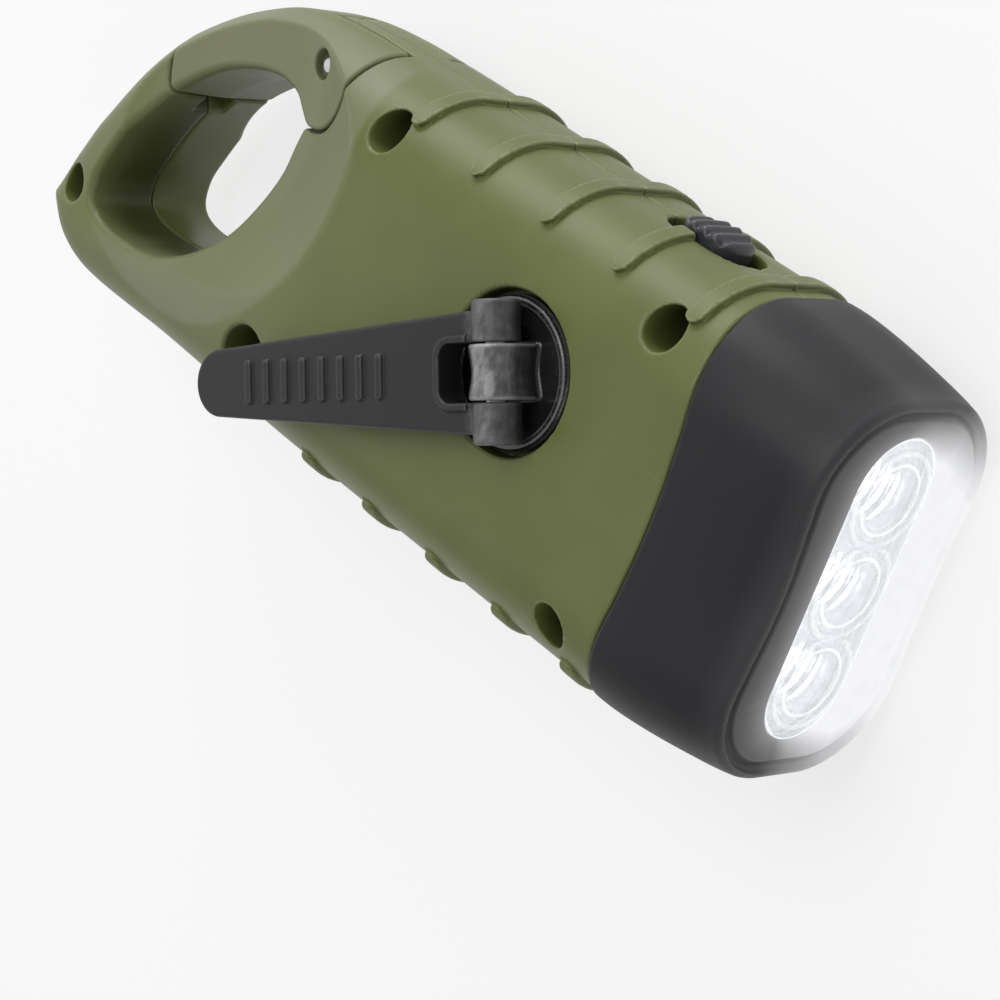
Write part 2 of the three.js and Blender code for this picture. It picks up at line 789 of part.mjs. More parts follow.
// The wound spring round the gate's pin, with a leg that reaches the gate's web
class SpringCurve extends THREE.Curve {
  getPoint(t) {
    const legShare = 0.1;
    const travel = Math.max(0, t - legShare) / (1 - legShare);
    const angle = travel * springTurns * 2 * Math.PI - Math.PI / 2;
    const pitch = (2 * (springPocketHalf - springWire)) / springTurns;
    const leg = (Math.max(0, legShare - t) / legShare) * springLeg;
    return new THREE.Vector3(
      gatePinX + springRadius * Math.cos(angle) - leg,
      gatePinY + springRadius * Math.sin(angle),
      (travel * springTurns - springTurns / 2) * pitch,
    );
  }
}

function gateSpring() {
  const section = new THREE.Shape();
  const sides = 5;
  for (let i = 0; i < sides; i++) {
    const angle = (i / sides) * 2 * Math.PI;
    const point = [(springWire / 2) * Math.cos(angle), (springWire / 2) * Math.sin(angle)];
    if (i === 0) {
      section.moveTo(...point);
    } else {
      section.lineTo(...point);
    }
  }
  const path = new SpringCurve();
  path.arcLengthDivisions = 400;
  const steps = springTurns * 9 + 3;
  return solidOf(new THREE.ExtrudeGeometry(section, { steps, extrudePath: path, bevelEnabled: false }));
}

// Lens head: the bezel, the clear window, the reflector with its cups, the lamps and their board
function headBezel() {
  const places = headShares.map(([place]) => place * headLength).reverse();
  const skin = headLoft(places, 0);
  const room = headLoft([headLength + gap, headLength, headLength / 2, headFrontWall], headWall);
  const run = windowBevel / windowDepth;
  const rim = (distance, grow) => {
    const across = windowHalfWidth + grow;
    const high = windowHalfHeight + grow;
    return roundedRing(-across, across, high, high).map(([y, z]) => [-distance, y, z]);
  };
  const window = loft([
    rim(headFrontWall + headWall, 0),
    rim(windowDepth, 0),
    rim(-windowDepth, 2 * windowDepth * run),
  ]);
  return cut(skin, room, window);
}

// A plate across the head, a rounded rectangle between two distances behind the rim
function headPlate(front, back, halfAcross, halfHigh) {
  const ring = roundedRing(-halfAcross, halfAcross, halfHigh, halfHigh);
  return loft([back, front].map((distance) => ring.map(([y, z]) => [-distance, y, z])));
}

function lensWindow() {
  const front = headFrontWall + seatGap;
  return headPlate(front, front + lensThickness, windowHalfWidth + lensMargin, windowHalfHeight + lensMargin);
}

// A turned piece on the lamps' axis, from [radius, distance behind the rim] pairs
function lampTurned(profile, y, sides = midRound) {
  return solidOf(turned(profile, sides).rotateY(radians(-90)).translate(0, y, 0));
}

function lampPlaces() {
  return Array.from({ length: lampCount }, (_, i) => (i - (lampCount - 1) / 2) * lampPitch);
}

function reflector() {
  const front = headFrontWall + lensThickness + 2 * seatGap;
  const blank = headLoft([front + reflectorLength, front], headWall + gap);
  const cups = lampPlaces().map((y) => {
    const profile = [
      [0, front - gap],
      [cupRadius, front - gap],
      [cupRadius, front],
      [(cupRadius + cupFootRadius) / 2 + gap, front + cupDepth / 2],
      [cupFootRadius, front + cupDepth],
      [cupFootRadius, front + reflectorLength + gap],
      [0, front + reflectorLength + gap],
    ];
    return lampTurned(profile, y);
  });
  return cut(blank, cups);
}

function lamp(y) {
  const base = boardFace - seatGap;
  const shoulder = base - lampLength + lampRadius;
  const dome = [];
  const steps = 3;
  for (let i = 0; i <= steps; i++) {
    const angle = (radians(90) * i) / steps;
    dome.push([lampRadius * Math.sin(angle), shoulder - lampRadius * Math.cos(angle)]);
  }
  dome.push([lampRadius, base - lampFlange], [lampFlangeRadius, base - lampFlange]);
  dome.push([lampFlangeRadius, base], [0, base]);
  return lampTurned(dome, y, smallRound);
}

function lampBoardPlate() {
  return headLoft([boardFace + lampBoard, boardFace], headWall + gap);
}

// Crank: the hub with its shaft and middle knuckle, the folding arm and the hinge pin.
// These three are built round the hub's axis with x towards the arm's tip.
function hingeRod(radius, low, high, sides = midRound) {
  const geometry = new THREE.CylinderGeometry(radius, radius, high - low, sides);
  return solidOf(geometry.translate(hingeX, (low + high) / 2, hingeZ));
}

function crankHub() {
  const foot = crankRecessFloor + gap;
  const profile = [
    [0, plateTop - plateThickness],
    [shaftRadius, plateTop - plateThickness],
    [shaftRadius, foot],
    [hubRadius, foot],
    [hubRadius, hubTop - hubEdge],
    [hubRadius - hubEdge, hubTop],
    [0, hubTop],
  ];
  const half = middleKnuckle / 2;
  const pedestal = block(
    hingeX - knuckleRadius, hingeX + knuckleRadius, -half, half, hubTop - hubEdge, hingeZ,
  );
  const body = join(solidOf(turned(profile, largeRound)), pedestal, hingeRod(knuckleRadius, -half, half));
  return cut(body, hingeRod(hingePinRadius + runningGap, -hingeLength, hingeLength, smallRound));
}

function armPlan(inset, start) {
  const plan = new THREE.Shape();
  const tip = armReach - armTipRadius;
  const taper = (armHalfWidth - armTipRadius) / tip;
  plan.moveTo(start, inset - armHalfWidth + taper * start);
  plan.lineTo(tip, inset - armTipRadius);
  plan.absarc(tip, 0, armTipRadius - inset, -Math.PI / 2, Math.PI / 2, false);
  plan.lineTo(start, armHalfWidth - inset - taper * start);
  return plan;
}

function crankArm() {
  const low = hingeZ - armThickness / 2;
  const high = hingeZ + armThickness / 2;
  const slotHalf = middleKnuckle / 2 + gap / 2;
  const plate = prism(armPlan(0, hingeX), low, high, 10);
  const bars = Array.from({ length: gripBarCount }, (_, i) => {
    const x = gripBarFirst + i * gripBarPitch;
    const half = gripBarLength / 2;
    return block(x, x + gripBarWidth, -half, half, high - gripBarHeight, high + gripBarHeight);
  });
  const slot = new THREE.Shape();
  slot.moveTo(-overrun, -slotHalf);
  slot.lineTo(armSlotEnd - slotHalf / 2, -slotHalf);
  slot.quadraticCurveTo(armSlotEnd, -slotHalf, armSlotEnd, 0);
  slot.quadraticCurveTo(armSlotEnd, slotHalf, armSlotEnd - slotHalf / 2, slotHalf);
  slot.lineTo(-overrun, slotHalf);
  const cuts = [
    prism(slot, -overrun, overrun, 5),
    prism(armPlan(armChannelWall, armChannelStart), low - gap, low + armChannelDepth, 8),
    hingeRod(hingePinRadius + runningGap, -hingeLength, hingeLength, smallRound),
  ];
  return cut(join(plate, bars, hingeRod(barrelRadius, -hingeLength / 2, hingeLength / 2)), cuts);
}

function hingePin() {
  const half = hingeLength / 2 - gap;
  return hingeRod(hingePinRadius, -half, half, smallRound);
}

// A spur gear's outline with involute flanks; a tooth is centred on the phase angle
function gearShape(teeth, shift, phase) {
  const pitchRadius = (toothModule * teeth) / 2;
  const pressure = radians(pressureAngle);
  const base = pitchRadius * Math.cos(pressure);
  const tip = pitchRadius + toothModule * (addendumShare + shift);
  const root = pitchRadius - toothModule * (dedendumShare - shift);
  const thickness = toothModule * (Math.PI / 2 + 2 * shift * Math.tan(pressure)) - backlash;
  const involute = (angle) => Math.tan(angle) - angle;
  const halfAt = (radius) =>
    thickness / (2 * pitchRadius) + involute(pressure) - involute(Math.acos(Math.min(1, base / radius)));
  const start = Math.max(base, root);
  const flank = [root, start, (start + tip) / 2, tip].filter(
    (radius, i) => (i > 0 || root < base) && (i !== 2 || teeth < flankPointTeeth),
  );
  const points = [];
  for (let i = 0; i < teeth; i++) {
    const centre = phase + (i / teeth) * 2 * Math.PI;
    const put = (radius, side) => {
      const angle = centre + side * halfAt(Math.max(radius, base));
      points.push([radius * Math.cos(angle), radius * Math.sin(angle)]);
    };
    for (const radius of flank) {
      put(radius, -1);
    }
    for (const radius of [...flank].reverse()) {
      put(radius, 1);
    }
  }
  return outline(points);
}

function gear(place, teeth, shift, phase, low) {
  return prism(gearShape(teeth, shift, phase), low, low + gearThickness).translate([...place, 0]);
}

// The phase that a driven gear needs so that its gap faces a tooth of the gear that drives it
function meshPhase(angle, driverTeeth, driverPhase, drivenTeeth) {
  return angle + Math.PI - Math.PI / drivenTeeth + ((angle - driverPhase) * driverTeeth) / drivenTeeth;
}

function driveGear() {
  const [[x, y]] = axes();
  const hub = rod(x, y, gearHubRadius, levelA, bearingEnd - gap);
  const blank = join(gear([x, y], wheelTeeth, -profileShift, 0, levelA), hub);
  return cut(blank, rod(x, y, shaftRadius + runningGap, -overrun, overrun, largeRound));
}

// Each compound gear has the pinion that its driver turns and the wheel that turns the next one
function firstIdler() {
  const [, [x, y]] = axes();
  const phase = meshPhase(radians(idlerAngle), wheelTeeth, 0, pinionTeeth);
  const solids = [
    gear([x, y], middleTeeth, -profileShift, 0, levelB),
    gear([x, y], pinionTeeth, profileShift, phase, levelA),
    rod(x, y, collarRadius, plateTop + seatGap, levelTop + gearSpace - seatGap),
  ];
  return cut(join(solids), rod(x, y, axleRadius + runningGap, -overrun, overrun, smallRound));
}

function secondIdler() {
  const [, , [x, y]] = axes();
  const phase = meshPhase(radians(secondAngle), middleTeeth, 0, pinionTeeth);
  const solids = [
    gear([x, y], middleTeeth, -profileShift, 0, levelC),
    gear([x, y], pinionTeeth, profileShift, phase, levelB),
    rod(x, y, collarRadius, plateTop + seatGap, levelTop + gearSpace - seatGap),
  ];
  return cut(join(solids), rod(x, y, axleRadius + runningGap, -overrun, overrun, smallRound));
}

function idlerAxle([x, y]) {
  return rod(x, y, axleRadius, plateTop - plateThickness, halfThickness - wall - 2 * gap, smallRound);
}

// Dynamo: the magnet with its pinion on one shaft, the coil and the core round it
function dynamoRotor() {
  const [, , , [x, y]] = axes();
  const phase = meshPhase(radians(rotorAngle), middleTeeth, 0, pinionTeeth);
  const low = dynamoFloor + statorPlate;
  return join(
    gear([x, y], pinionTeeth, profileShift, phase, levelC),
    rod(x, y, rotorRadius, low, low + rotorHeight),
    rod(x, y, rotorShaftRadius, dynamoFloor - gap / 2, levelC + gearThickness + gap, smallRound),
  );
}

function ringSolid(place, profile) {
  return solidOf(turned([...profile, profile[0]], midRound)).translate([...place, 0]);
}

function dynamoCore() {
  const rotor = axes()[3];
  const high = dynamoFloor + statorHeight;
  return ringSolid(rotor, [
    [statorInner, dynamoFloor],
    [statorOuter, dynamoFloor],
    [statorOuter, high],
    [statorInner, high],
    [statorInner, high - statorPlate],
    [statorOuter - statorPlate, high - statorPlate],
    [statorOuter - statorPlate, dynamoFloor + statorPlate],
    [statorInner, dynamoFloor + statorPlate],
  ]);
}

function dynamoCoil() {
  const rotor = axes()[3];
  const low = dynamoFloor + statorPlate + seatGap;
  const high = dynamoFloor + statorHeight - statorPlate - seatGap;
  const outer = statorOuter - statorPlate - seatGap;
  return ringSolid(rotor, [[statorInner, low], [outer, low], [outer, high], [statorInner, high]]);
}

// The plate that holds the lower ends of the gear axles
function gearPlate() {
  const [crank, first, second, rotor] = axes();
  const posts = postPlaces();
  const reach = postRadius * 2;
  const plan = outline([
    [crank[0] + reach, crank[1] - reach],
    [crank[0] + reach, crank[1] + reach],
    [rotor[0], rotor[1] + reach],
    [posts[2][0] + reach, posts[2][1] + reach],
    [posts[2][0] - reach, posts[2][1] + reach],
    [second[0] - reach, second[1]],
    [posts[1][0] - reach, posts[1][1] - reach],
    [first[0], first[1] - reach],
    [posts[0][0] + postRadius, posts[0][1] - postRadius],
  ]);
  const holes = [
    rod(...crank, shaftRadius + runningGap, -overrun, overrun, largeRound),
    rod(...first, axleRadius + runningGap, -overrun, overrun, smallRound),
    rod(...second, axleRadius + runningGap, -overrun, overrun, smallRound),
    rod(...rotor, rotorShaftRadius + runningGap, -overrun, overrun, smallRound),
  ];
  return cut(prism(plan, plateTop - plateThickness, plateTop), holes);
}

function circuitBoard() {
  const middleX = (boardFront + boardBack) / 2;
  const middleY = (boardLow + boardHigh) / 2;
  const board = block(boardBack, boardFront, boardLow, boardHigh, boardTop - boardThickness, boardTop);
  const chips = [-1, 1].map((side) => {
    const y = middleY + side * chipLength;
    const top = boardTop + chipHeight;
    const half = chipLength / 2;
    return block(middleX - half, middleX + half, y - chipWidth / 2, y + chipWidth / 2, boardTop - gap, top);
  });
  return join(board, chips);
}

function batteryCell(index) {
  const start = cellFirstX - index * (cellLength + 2 * seatGap);
  const profile = [
    [0, 0],
    [cellRadius - cellEdge, 0],
    [cellRadius, cellEdge],
    [cellRadius, cellLength],
    [0, cellLength],
  ];
  return solidOf(turned(profile, midRound).rotateY(radians(-90)).translate(start, cellY, cellZ));
}

// An oval prism that runs across the switch edge
function edgeOval(length, height, low, high) {
  const ring = roundedRing(-length / 2, length / 2, height / 2, height / 2, 0, 5);
  return loft([high, low].map((y) => ring.map(([x, z]) => [switchX + x, y, z])));
}

function switchButton() {
  const inner = halfWidth - wall - gap;
  const outer = halfWidth + buttonProud;
  const half = flangeLength / 2;
  const solids = [
    edgeOval(buttonLength, buttonHeight, inner - gap, outer),
    block(switchX - half, switchX + half, inner - buttonFlange, inner, -flangeHeight / 2, flangeHeight / 2),
    block(
      switchX - stemSize / 2, switchX + stemSize / 2,
      switchBack + switchDepth + seatGap, inner - gap, -stemSize / 2, stemSize / 2,
    ),
  ];
  const pitch = buttonLength / (buttonRidges + 1);
  const grooves = Array.from({ length: buttonRidges }, (_, i) => {
    const x = switchX + (i - (buttonRidges - 1) / 2) * pitch;
    const floor = outer - buttonRidgeDepth;
    return block(x - pitch / 4, x + pitch / 4, floor, overrun, -buttonHeight, buttonHeight);
  });
  return cut(join(solids), grooves);
}

function switchBody() {
  const half = switchLength / 2;
  const high = switchHeight / 2;
  return block(switchX - half, switchX + half, switchBack, switchBack + switchDepth, -high, high);
}

// Solar panel: the moulded frame with its sloped window, and the cell behind it
function solarFrame() {
  const depth = frameThickness - 2 * frameBevel;
  const geometry = new THREE.ExtrudeGeometry(framePlan(frameBevel), {
    depth,
    bevelThickness: frameBevel,
    bevelSize: frameBevel,
    bevelSegments: 1,
    curveSegments: 6,
  });
  const blank = solidOf(geometry.translate(0, 0, frameBevel - restZ));
  const across = (grow, z) =>
    roundedRing(cellWindowBack - grow, cellWindowFront + grow, cellWindowHalf + grow, grow + wall / 2, 0, 3)
      .map(([x, y]) => [x, y, z]);
  const slope = windowSlope / windowStep;
  const window = loft([
    across(2 * windowStep * slope, -restZ - windowStep),
    across(windowSlope / 3, windowStep - restZ),
    across(0, windowStep - restZ + gap),
    across(0, -restZ + overrun),
  ]);
  const rebate = block(
    cellWindowBack - solarLip - gap, cellWindowFront + solarLip + gap,
    -cellWindowHalf - solarLip - gap, cellWindowHalf + solarLip + gap,
    solarCellTop - seatGap - restZ, overrun,
  );
  return cut(blank, window, rebate);
}

function solarCell() {
  const low = solarCellTop - restZ;
  return block(
    cellWindowBack - solarLip, cellWindowFront + solarLip,
    -cellWindowHalf - solarLip, cellWindowHalf + solarLip,
    low, low + solarCellThickness,
  );
}

function housingScrew([x, y]) {
  const profile = [
    [0, -screwDepth],
    [screwRadius, -screwDepth],
    [screwRadius, screwSeat + seatGap],
    [screwHeadRadius, screwSeat + seatGap],
    [screwHeadRadius, screwSeat + screwHead],
    [0, screwSeat + screwHead],
  ];
  return solidOf(turned(profile, smallRound).translate(x, y, 0));
}

// Finishes
const olive = { color: 0x6e7748, roughness: 0.5, metalness: 0 };
const charcoal = { color: 0x3c3d3f, roughness: 0.6, metalness: 0 };
const glossBlack = { color: 0x1c1c1e, roughness: 0.3, metalness: 0 };
const steel = { color: 0xb9babd, roughness: 0.3, metalness: 1 };
const brass = { color: 0xb59a4c, roughness: 0.35, metalness: 1 };
const copper = { color: 0xa4562c, roughness: 0.4, metalness: 1 };
const nylon = { color: 0xe4e2da, roughness: 0.5, metalness: 0 };
const clear = { color: 0xf4f7f8, roughness: 0.05, metalness: 0, transparent: true, opacity: 0.3 };
const chrome = { color: 0xe6e8ea, roughness: 0.1, metalness: 1 };
const lampWhite = { color: 0xffffff, roughness: 0.1, metalness: 0, emissive: 0xffffff };
const boardGreen = { color: 0x2f6b3f, roughness: 0.5, metalness: 0 };
const panelRed = { color: 0x7d3732, roughness: 0.2, metalness: 0 };

const flashlight = new THREE.Group();
const assembly = new THREE.Group();
assembly.position.set(bodyLength / 2, 0, restZ);
flashlight.add(assembly);

const form = outerForm();
const housing = housingForm(form);
assembly.add(meshOf("crank_side_shell", crankSideShell(form, housing), olive));
assembly.add(meshOf("solar_side_shell", solarSideShell(form, housing), olive));
assembly.add(meshOf("gate", gate(form), olive));
assembly.add(meshOf("gate_pin", gatePin(), steel));
assembly.add(meshOf("gate_spring", gateSpring(), steel));

assembly.add(meshOf("head_bezel", headBezel(), charcoal));
assembly.add(meshOf("lens_window", lensWindow(), clear));
assembly.add(meshOf("reflector", reflector(), chrome));
assembly.add(meshOf("lamp_board", lampBoardPlate(), boardGreen));
for (const [i, y] of lampPlaces().entries()) {
  assembly.add(meshOf(`lamp_${i + 1}`, lamp(y), lampWhite));
}

const crank = new THREE.Group();
crank.position.set(crankX, crankY, 0);
crank.rotation.z = radians(crankAngle);
crank.add(meshOf("crank_hub", crankHub(), glossBlack));
crank.add(meshOf("crank_arm", crankArm(), charcoal));
crank.add(meshOf("hinge_pin", hingePin(), steel));
assembly.add(crank);

assembly.add(meshOf("drive_gear", driveGear(), nylon));
assembly.add(meshOf("first_idler", firstIdler(), nylon));
assembly.add(meshOf("second_idler", secondIdler(), nylon));
for (const [i, place] of axes().slice(1, 3).entries()) {
  assembly.add(meshOf(`idler_axle_${i + 1}`, idlerAxle(place), steel));
}
assembly.add(meshOf("gear_plate", gearPlate(), steel));
assembly.add(meshOf("dynamo_rotor", dynamoRotor(), steel));
assembly.add(meshOf("dynamo_core", dynamoCore(), steel));
assembly.add(meshOf("dynamo_coil", dynamoCoil(), copper));
assembly.add(meshOf("circuit_board", circuitBoard(), boardGreen));
for (let i = 0; i < cellCount; i++) {
  assembly.add(meshOf(`battery_cell_${i + 1}`, batteryCell(i), brass));
}

assembly.add(meshOf("switch_button", switchButton(), glossBlack));
assembly.add(meshOf("switch_body", switchBody(), charcoal));
assembly.add(meshOf("solar_frame", solarFrame(), charcoal));
assembly.add(meshOf("solar_cell", solarCell(), panelRed));
for (const [i, place] of screwPlaces().entries()) {
  assembly.add(meshOf(`housing_screw_${i + 1}`, housingScrew(place), steel));
}

export default flashlight;
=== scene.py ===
# Hand crank flashlight with a carabiner clip: its moulded housing, lens head, crank, switch and solar panel
import math

import bpy
import numpy as np
from mathutils import Matrix, Vector


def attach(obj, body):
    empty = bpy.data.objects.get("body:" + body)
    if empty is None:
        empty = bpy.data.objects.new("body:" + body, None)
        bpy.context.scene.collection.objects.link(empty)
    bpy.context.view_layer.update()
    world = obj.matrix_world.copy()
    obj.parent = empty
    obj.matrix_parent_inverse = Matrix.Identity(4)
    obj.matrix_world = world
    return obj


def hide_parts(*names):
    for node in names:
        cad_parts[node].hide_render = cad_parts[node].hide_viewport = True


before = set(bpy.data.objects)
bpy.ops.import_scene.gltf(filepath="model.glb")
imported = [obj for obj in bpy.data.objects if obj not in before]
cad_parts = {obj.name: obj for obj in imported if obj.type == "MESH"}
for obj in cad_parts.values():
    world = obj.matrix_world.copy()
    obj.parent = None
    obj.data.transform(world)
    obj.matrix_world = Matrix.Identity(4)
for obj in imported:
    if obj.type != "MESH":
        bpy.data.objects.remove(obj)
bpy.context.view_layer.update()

# Lengths are in millimetres in the part's own axes: x runs from the lens rim back (so it is negative),
# y to the switch edge and z from the housing's parting plane up to the crank.
LENS_RIM = 69.0
PARTING = 15.8
MM = 0.001
PER_METRE = 1000.0

# Housing
HALF_WIDTH = 24.5
HALF_THICKNESS = 15.3
WALL = 1.9
CORNER_SHARE = 0.784
BARREL_END = -73.0
CLIP_LENGTH = 65.0
CAVITY_END = -76.0
HEAD_SEAM = -20.5
NECK = (2.3, 3.9)  # depth of its outer and inner face below the head's outside
NECK_FRONT = -12.0
NECK_BACK = -22.4
PARTING_GAP = 0.05
PARTING_ROUND = 0.4  # rounding of the edges where the two halves meet
# Place along the clip, upper and lower edge as shares of the half width, thickness share
CLIP_ROWS = [
    (0, 1, -1, 1), (0.108, 1, -1, 0.985), (0.204, 1, -1, 0.94), (0.293, 0.997, -1, 0.89),
    (0.399, 0.972, -1, 0.83), (0.499, 0.905, -1, 0.784), (0.569, 0.82, -1.003, 0.752),
    (0.631, 0.725, -1.01, 0.725), (0.692, 0.61, -1.015, 0.7), (0.739, 0.508, -1.018, 0.68),
    (0.785, 0.38, -1.018, 0.66), (0.83, 0.23, -1.01, 0.65), (0.868, 0.075, -0.99, 0.642),
    (0.9, -0.07, -0.96, 0.635), (0.924, -0.18, -0.928, 0.63), (0.946, -0.305, -0.885, 0.625),
    (0.966, -0.427, -0.833, 0.622), (0.982, -0.54, -0.785, 0.62), (0.992, -0.607, -0.748, 0.62),
    (1, -0.655, -0.707, 0.62),
]

# Grip ribs, numbered from the head back
RIB_FIRST = -23.7
RIB_PITCH = 12.0
RIB_HALF = 1.15
RIB_STARTS = np.array([21.1, 21.2, 21.2, 21.2, 22.1])  # where each begins on the switch edge
RIB_HEIGHT = 0.78
FAR_RIB_START = 22.4  # on the other edge
FAR_RIB_HEIGHT = 0.8

# Clip
DISH = (-108.8, 12.0)
DISH_FLOOR = 8.5
DISH_FLOOR_RADIUS = 17.0
DISH_RADIUS = 32.0
DISH_SLOPE = (HALF_THICKNESS - DISH_FLOOR) / (DISH_RADIUS - DISH_FLOOR_RADIUS)
HOLE = (-110.3, -0.5)
HOLE_HALF = (17.0, 14.5)
# The hole's rim as shares of its half length (to the back) and half width, from the corner by the heel seam
HOLE_ROWS = [
    (-1.003, 0.831), (-0.906, 0.917), (-0.812, 1.007), (-0.67, 1.05), (-0.5, 1.04), (-0.235, 0.95),
    (0.03, 0.8), (0.27, 0.59), (0.47, 0.37), (0.69, 0), (0.84, -0.39), (0.92, -0.68), (0.89, -0.89),
    (0.735, -0.985), (0.35, -0.99), (-0.06, -0.9), (-0.38, -0.7), (-0.65, -0.39), (-0.82, -0.01),
    (-0.94, 0.37), (-0.97, 0.64),
]
PIN = (-92.8, 19.5)
PIN_RADIUS = 1.2
PIN_END = 8.2
PIN_PLAY = 0.05
RIVET_RECESS = (1.85, 7.4)  # radius and floor of the recess round the rivet's head
SPRING_ROOM = (4.2, 1.6)  # radius and half height
HEEL_RADIUS = 8.0
GATE_REACH = 30.0
GATE_CORNER = (-85.0, 24.5)
GATE_SWING = 26.0
NOSE_LENGTH = 2.0
NOSE_HALF = 2.2
NOSE_ANGLES = (-153.0, -159.0)
SEAM = 0.2  # half the gap between the gate and the housing
TONGUE_HALF = 3.0
TONGUE_RADIUS = 5.6
TONGUE_PLAY = 0.3
TONGUE_SWEEP = (150, -66)  # degrees round the pin between which the gate keeps its web
TONGUE_END = (-98.5, 23.5)

# Head and lens
HEAD_END = -20.2
HEAD_HALF_WIDTH = 24.9
HEAD_HALF_THICKNESS = 15.7
# Distance behind the rim as a share of the head's length, width, thickness, waist
HEAD_ROWS = [
    (-0.2, 0.89, 0.89, 0.105), (0, 0.902, 0.9, 0.1), (0.06, 0.91, 0.908, 0.095), (0.125, 0.922, 0.92, 0.08),
    (0.3, 0.947, 0.945, 0.04), (0.6, 0.982, 0.98, 0.01), (0.85, 1, 0.997, 0), (1, 1, 1, 0), (1.2, 1, 1, 0),
]
SOLAR_WAIST = 0.5  # the waist on the solar side as a share of that on the crank side
HEAD_BOW = 3.1  # how far the seam bows to the lens in the middle of each face
WINDOW_HALF = (18.3, 6.2)
WINDOW_X = -1.0
RING_X = -0.35  # the sloped ring runs from about here at the lip to WINDOW_X
LIP = 1.1  # width of the rim outside the sloped ring
LIP_GROOVE = (0.35, 0.5, 0.62)  # inside the lip, behind the rim, radius
HEAD_WALL = 2.0
HEAD_WINDOW_WALL = 2.4
LAMP_PITCH = 11.0
LAMP_ROW = (-LAMP_PITCH, 0.0, LAMP_PITCH)
LENS_RINGS = ((5.5, 0.4), (4.1, 0.3))  # radius and tube radius
CUP_STEPS = ([0, 2.7, 5.4, 8], [5.3, 4.7, 3.2, 3.2])  # depth and radius of a lamp cup

# Crank
CRANK = (-43.0, 4.0)
CRANK_ANGLE = math.radians(209)
HINGE_U = -1.3
HINGE_Z = 18.1
KNUCKLE = 3.1
KNUCKLE_HALF = 3.05
BARREL = 2.7
ARM_REACH = 47.7
ARM_HALF_WIDTH = 6.9
ARM_TIP = 4.0
SLOT_END = 5.8
SLOT_HALF = (8.0, 3.25)
ARM_HALF_THICKNESS = 1.7
GRIP_FIRST = 15.5
GRIP_PITCH = 3.2
GRIP_COUNT = 8
GRIP_HALF = (0.55, 2.6)

# The crank's hub and its place in the housing: radius, or radius and level
HUB_BOSS = (11.2, 10.6)
HUB_BUSH = (4.4, 9.0)
HUB_RECESS = (9.3, 12.5)
HUB_BORE = 2.55
HUB_DISC = 8.7
HUB_SHAFT = 2.5

# Switch and solar panel
SWITCH_X = -34.5
SWITCH_SLOT = (6.5, 3.6, 3.55)  # half length, half width and corner radius
SWITCH_SLOT_FLOOR = 12.0
BUTTON_CAP = (4.35, 3.2, 3.15)  # the same
BUTTON_FLANGE = (3.6, 4.2, 21.6)  # half length, half width and level
RIDGE_PITCH = 1.75
BUTTON_TOP = 26.0
FRAME_FRONT = -24.4
FRAME_BACK = -72.5
FRAME_BULGE = 3.7
FRAME_HALF = 16.3
FRAME_CORNER = 3.0
FRAME_RIM = -15.8
CELL_FRONT = -29.5
CELL_BACK = -68.0
CELL_HALF = 10.3
PANEL_BED = (2.2, -11.35)  # how far it reaches past the frame's outline, and its level
PANEL_SEAT = (0.3, -13.25)

SCREWS = [(-26.0, 18.0), (-26.0, -18.0), (-74.4, 18.8), (-130.3, -13.1)]
SCREW_HOLE = 2.5
SCREW_FLOOR = 3.5
SCREW_HEAD = 1.95
SCREW_SHANK = 1.25
SCREW_PASS = 1.55
SCREW_PILOT = 1.35
PILOT_END = -6.3
TIP_RECESS = (-84.3, -16.2)
TIP_RECESS_SIZE = (4.75, 7.0)  # radius and floor


# Outlines and profiles
def smooth(points, per=8):
    """A smooth chain of points through the given ones."""
    given = np.array(points, float)
    given = np.vstack([2 * given[:1] - given[1:2], given, 2 * given[-1:] - given[-2:-1]])
    out = []
    for i in range(1, len(given) - 2):
        a, b, c, d = given[i - 1:i + 3]
        ta = 0.0
        tb = ta + np.sqrt(np.linalg.norm(b - a)) + 1e-9
        tc = tb + np.sqrt(np.linalg.norm(c - b)) + 1e-9
        td = tc + np.sqrt(np.linalg.norm(d - c)) + 1e-9
        for t in np.linspace(tb, tc, per, endpoint=False):
            ab = (tb - t) / (tb - ta) * a + (t - ta) / (tb - ta) * b
            bc = (tc - t) / (tc - tb) * b + (t - tb) / (tc - tb) * c
            cd = (td - t) / (td - tc) * c + (t - tc) / (td - tc) * d
            abc = (tc - t) / (tc - ta) * ab + (t - ta) / (tc - ta) * bc
            bcd = (td - t) / (td - tb) * bc + (t - tb) / (td - tb) * cd
            out.append((tc - t) / (tc - tb) * abc + (t - tb) / (tc - tb) * bcd)
    out.append(given[-2])
    return np.array(out)


def arc(centre, radius, start, end, steps):
    angles = np.radians(np.linspace(start, end, steps + 1))
    return np.column_stack([centre[0] + radius * np.cos(angles), centre[1] + radius * np.sin(angles)])


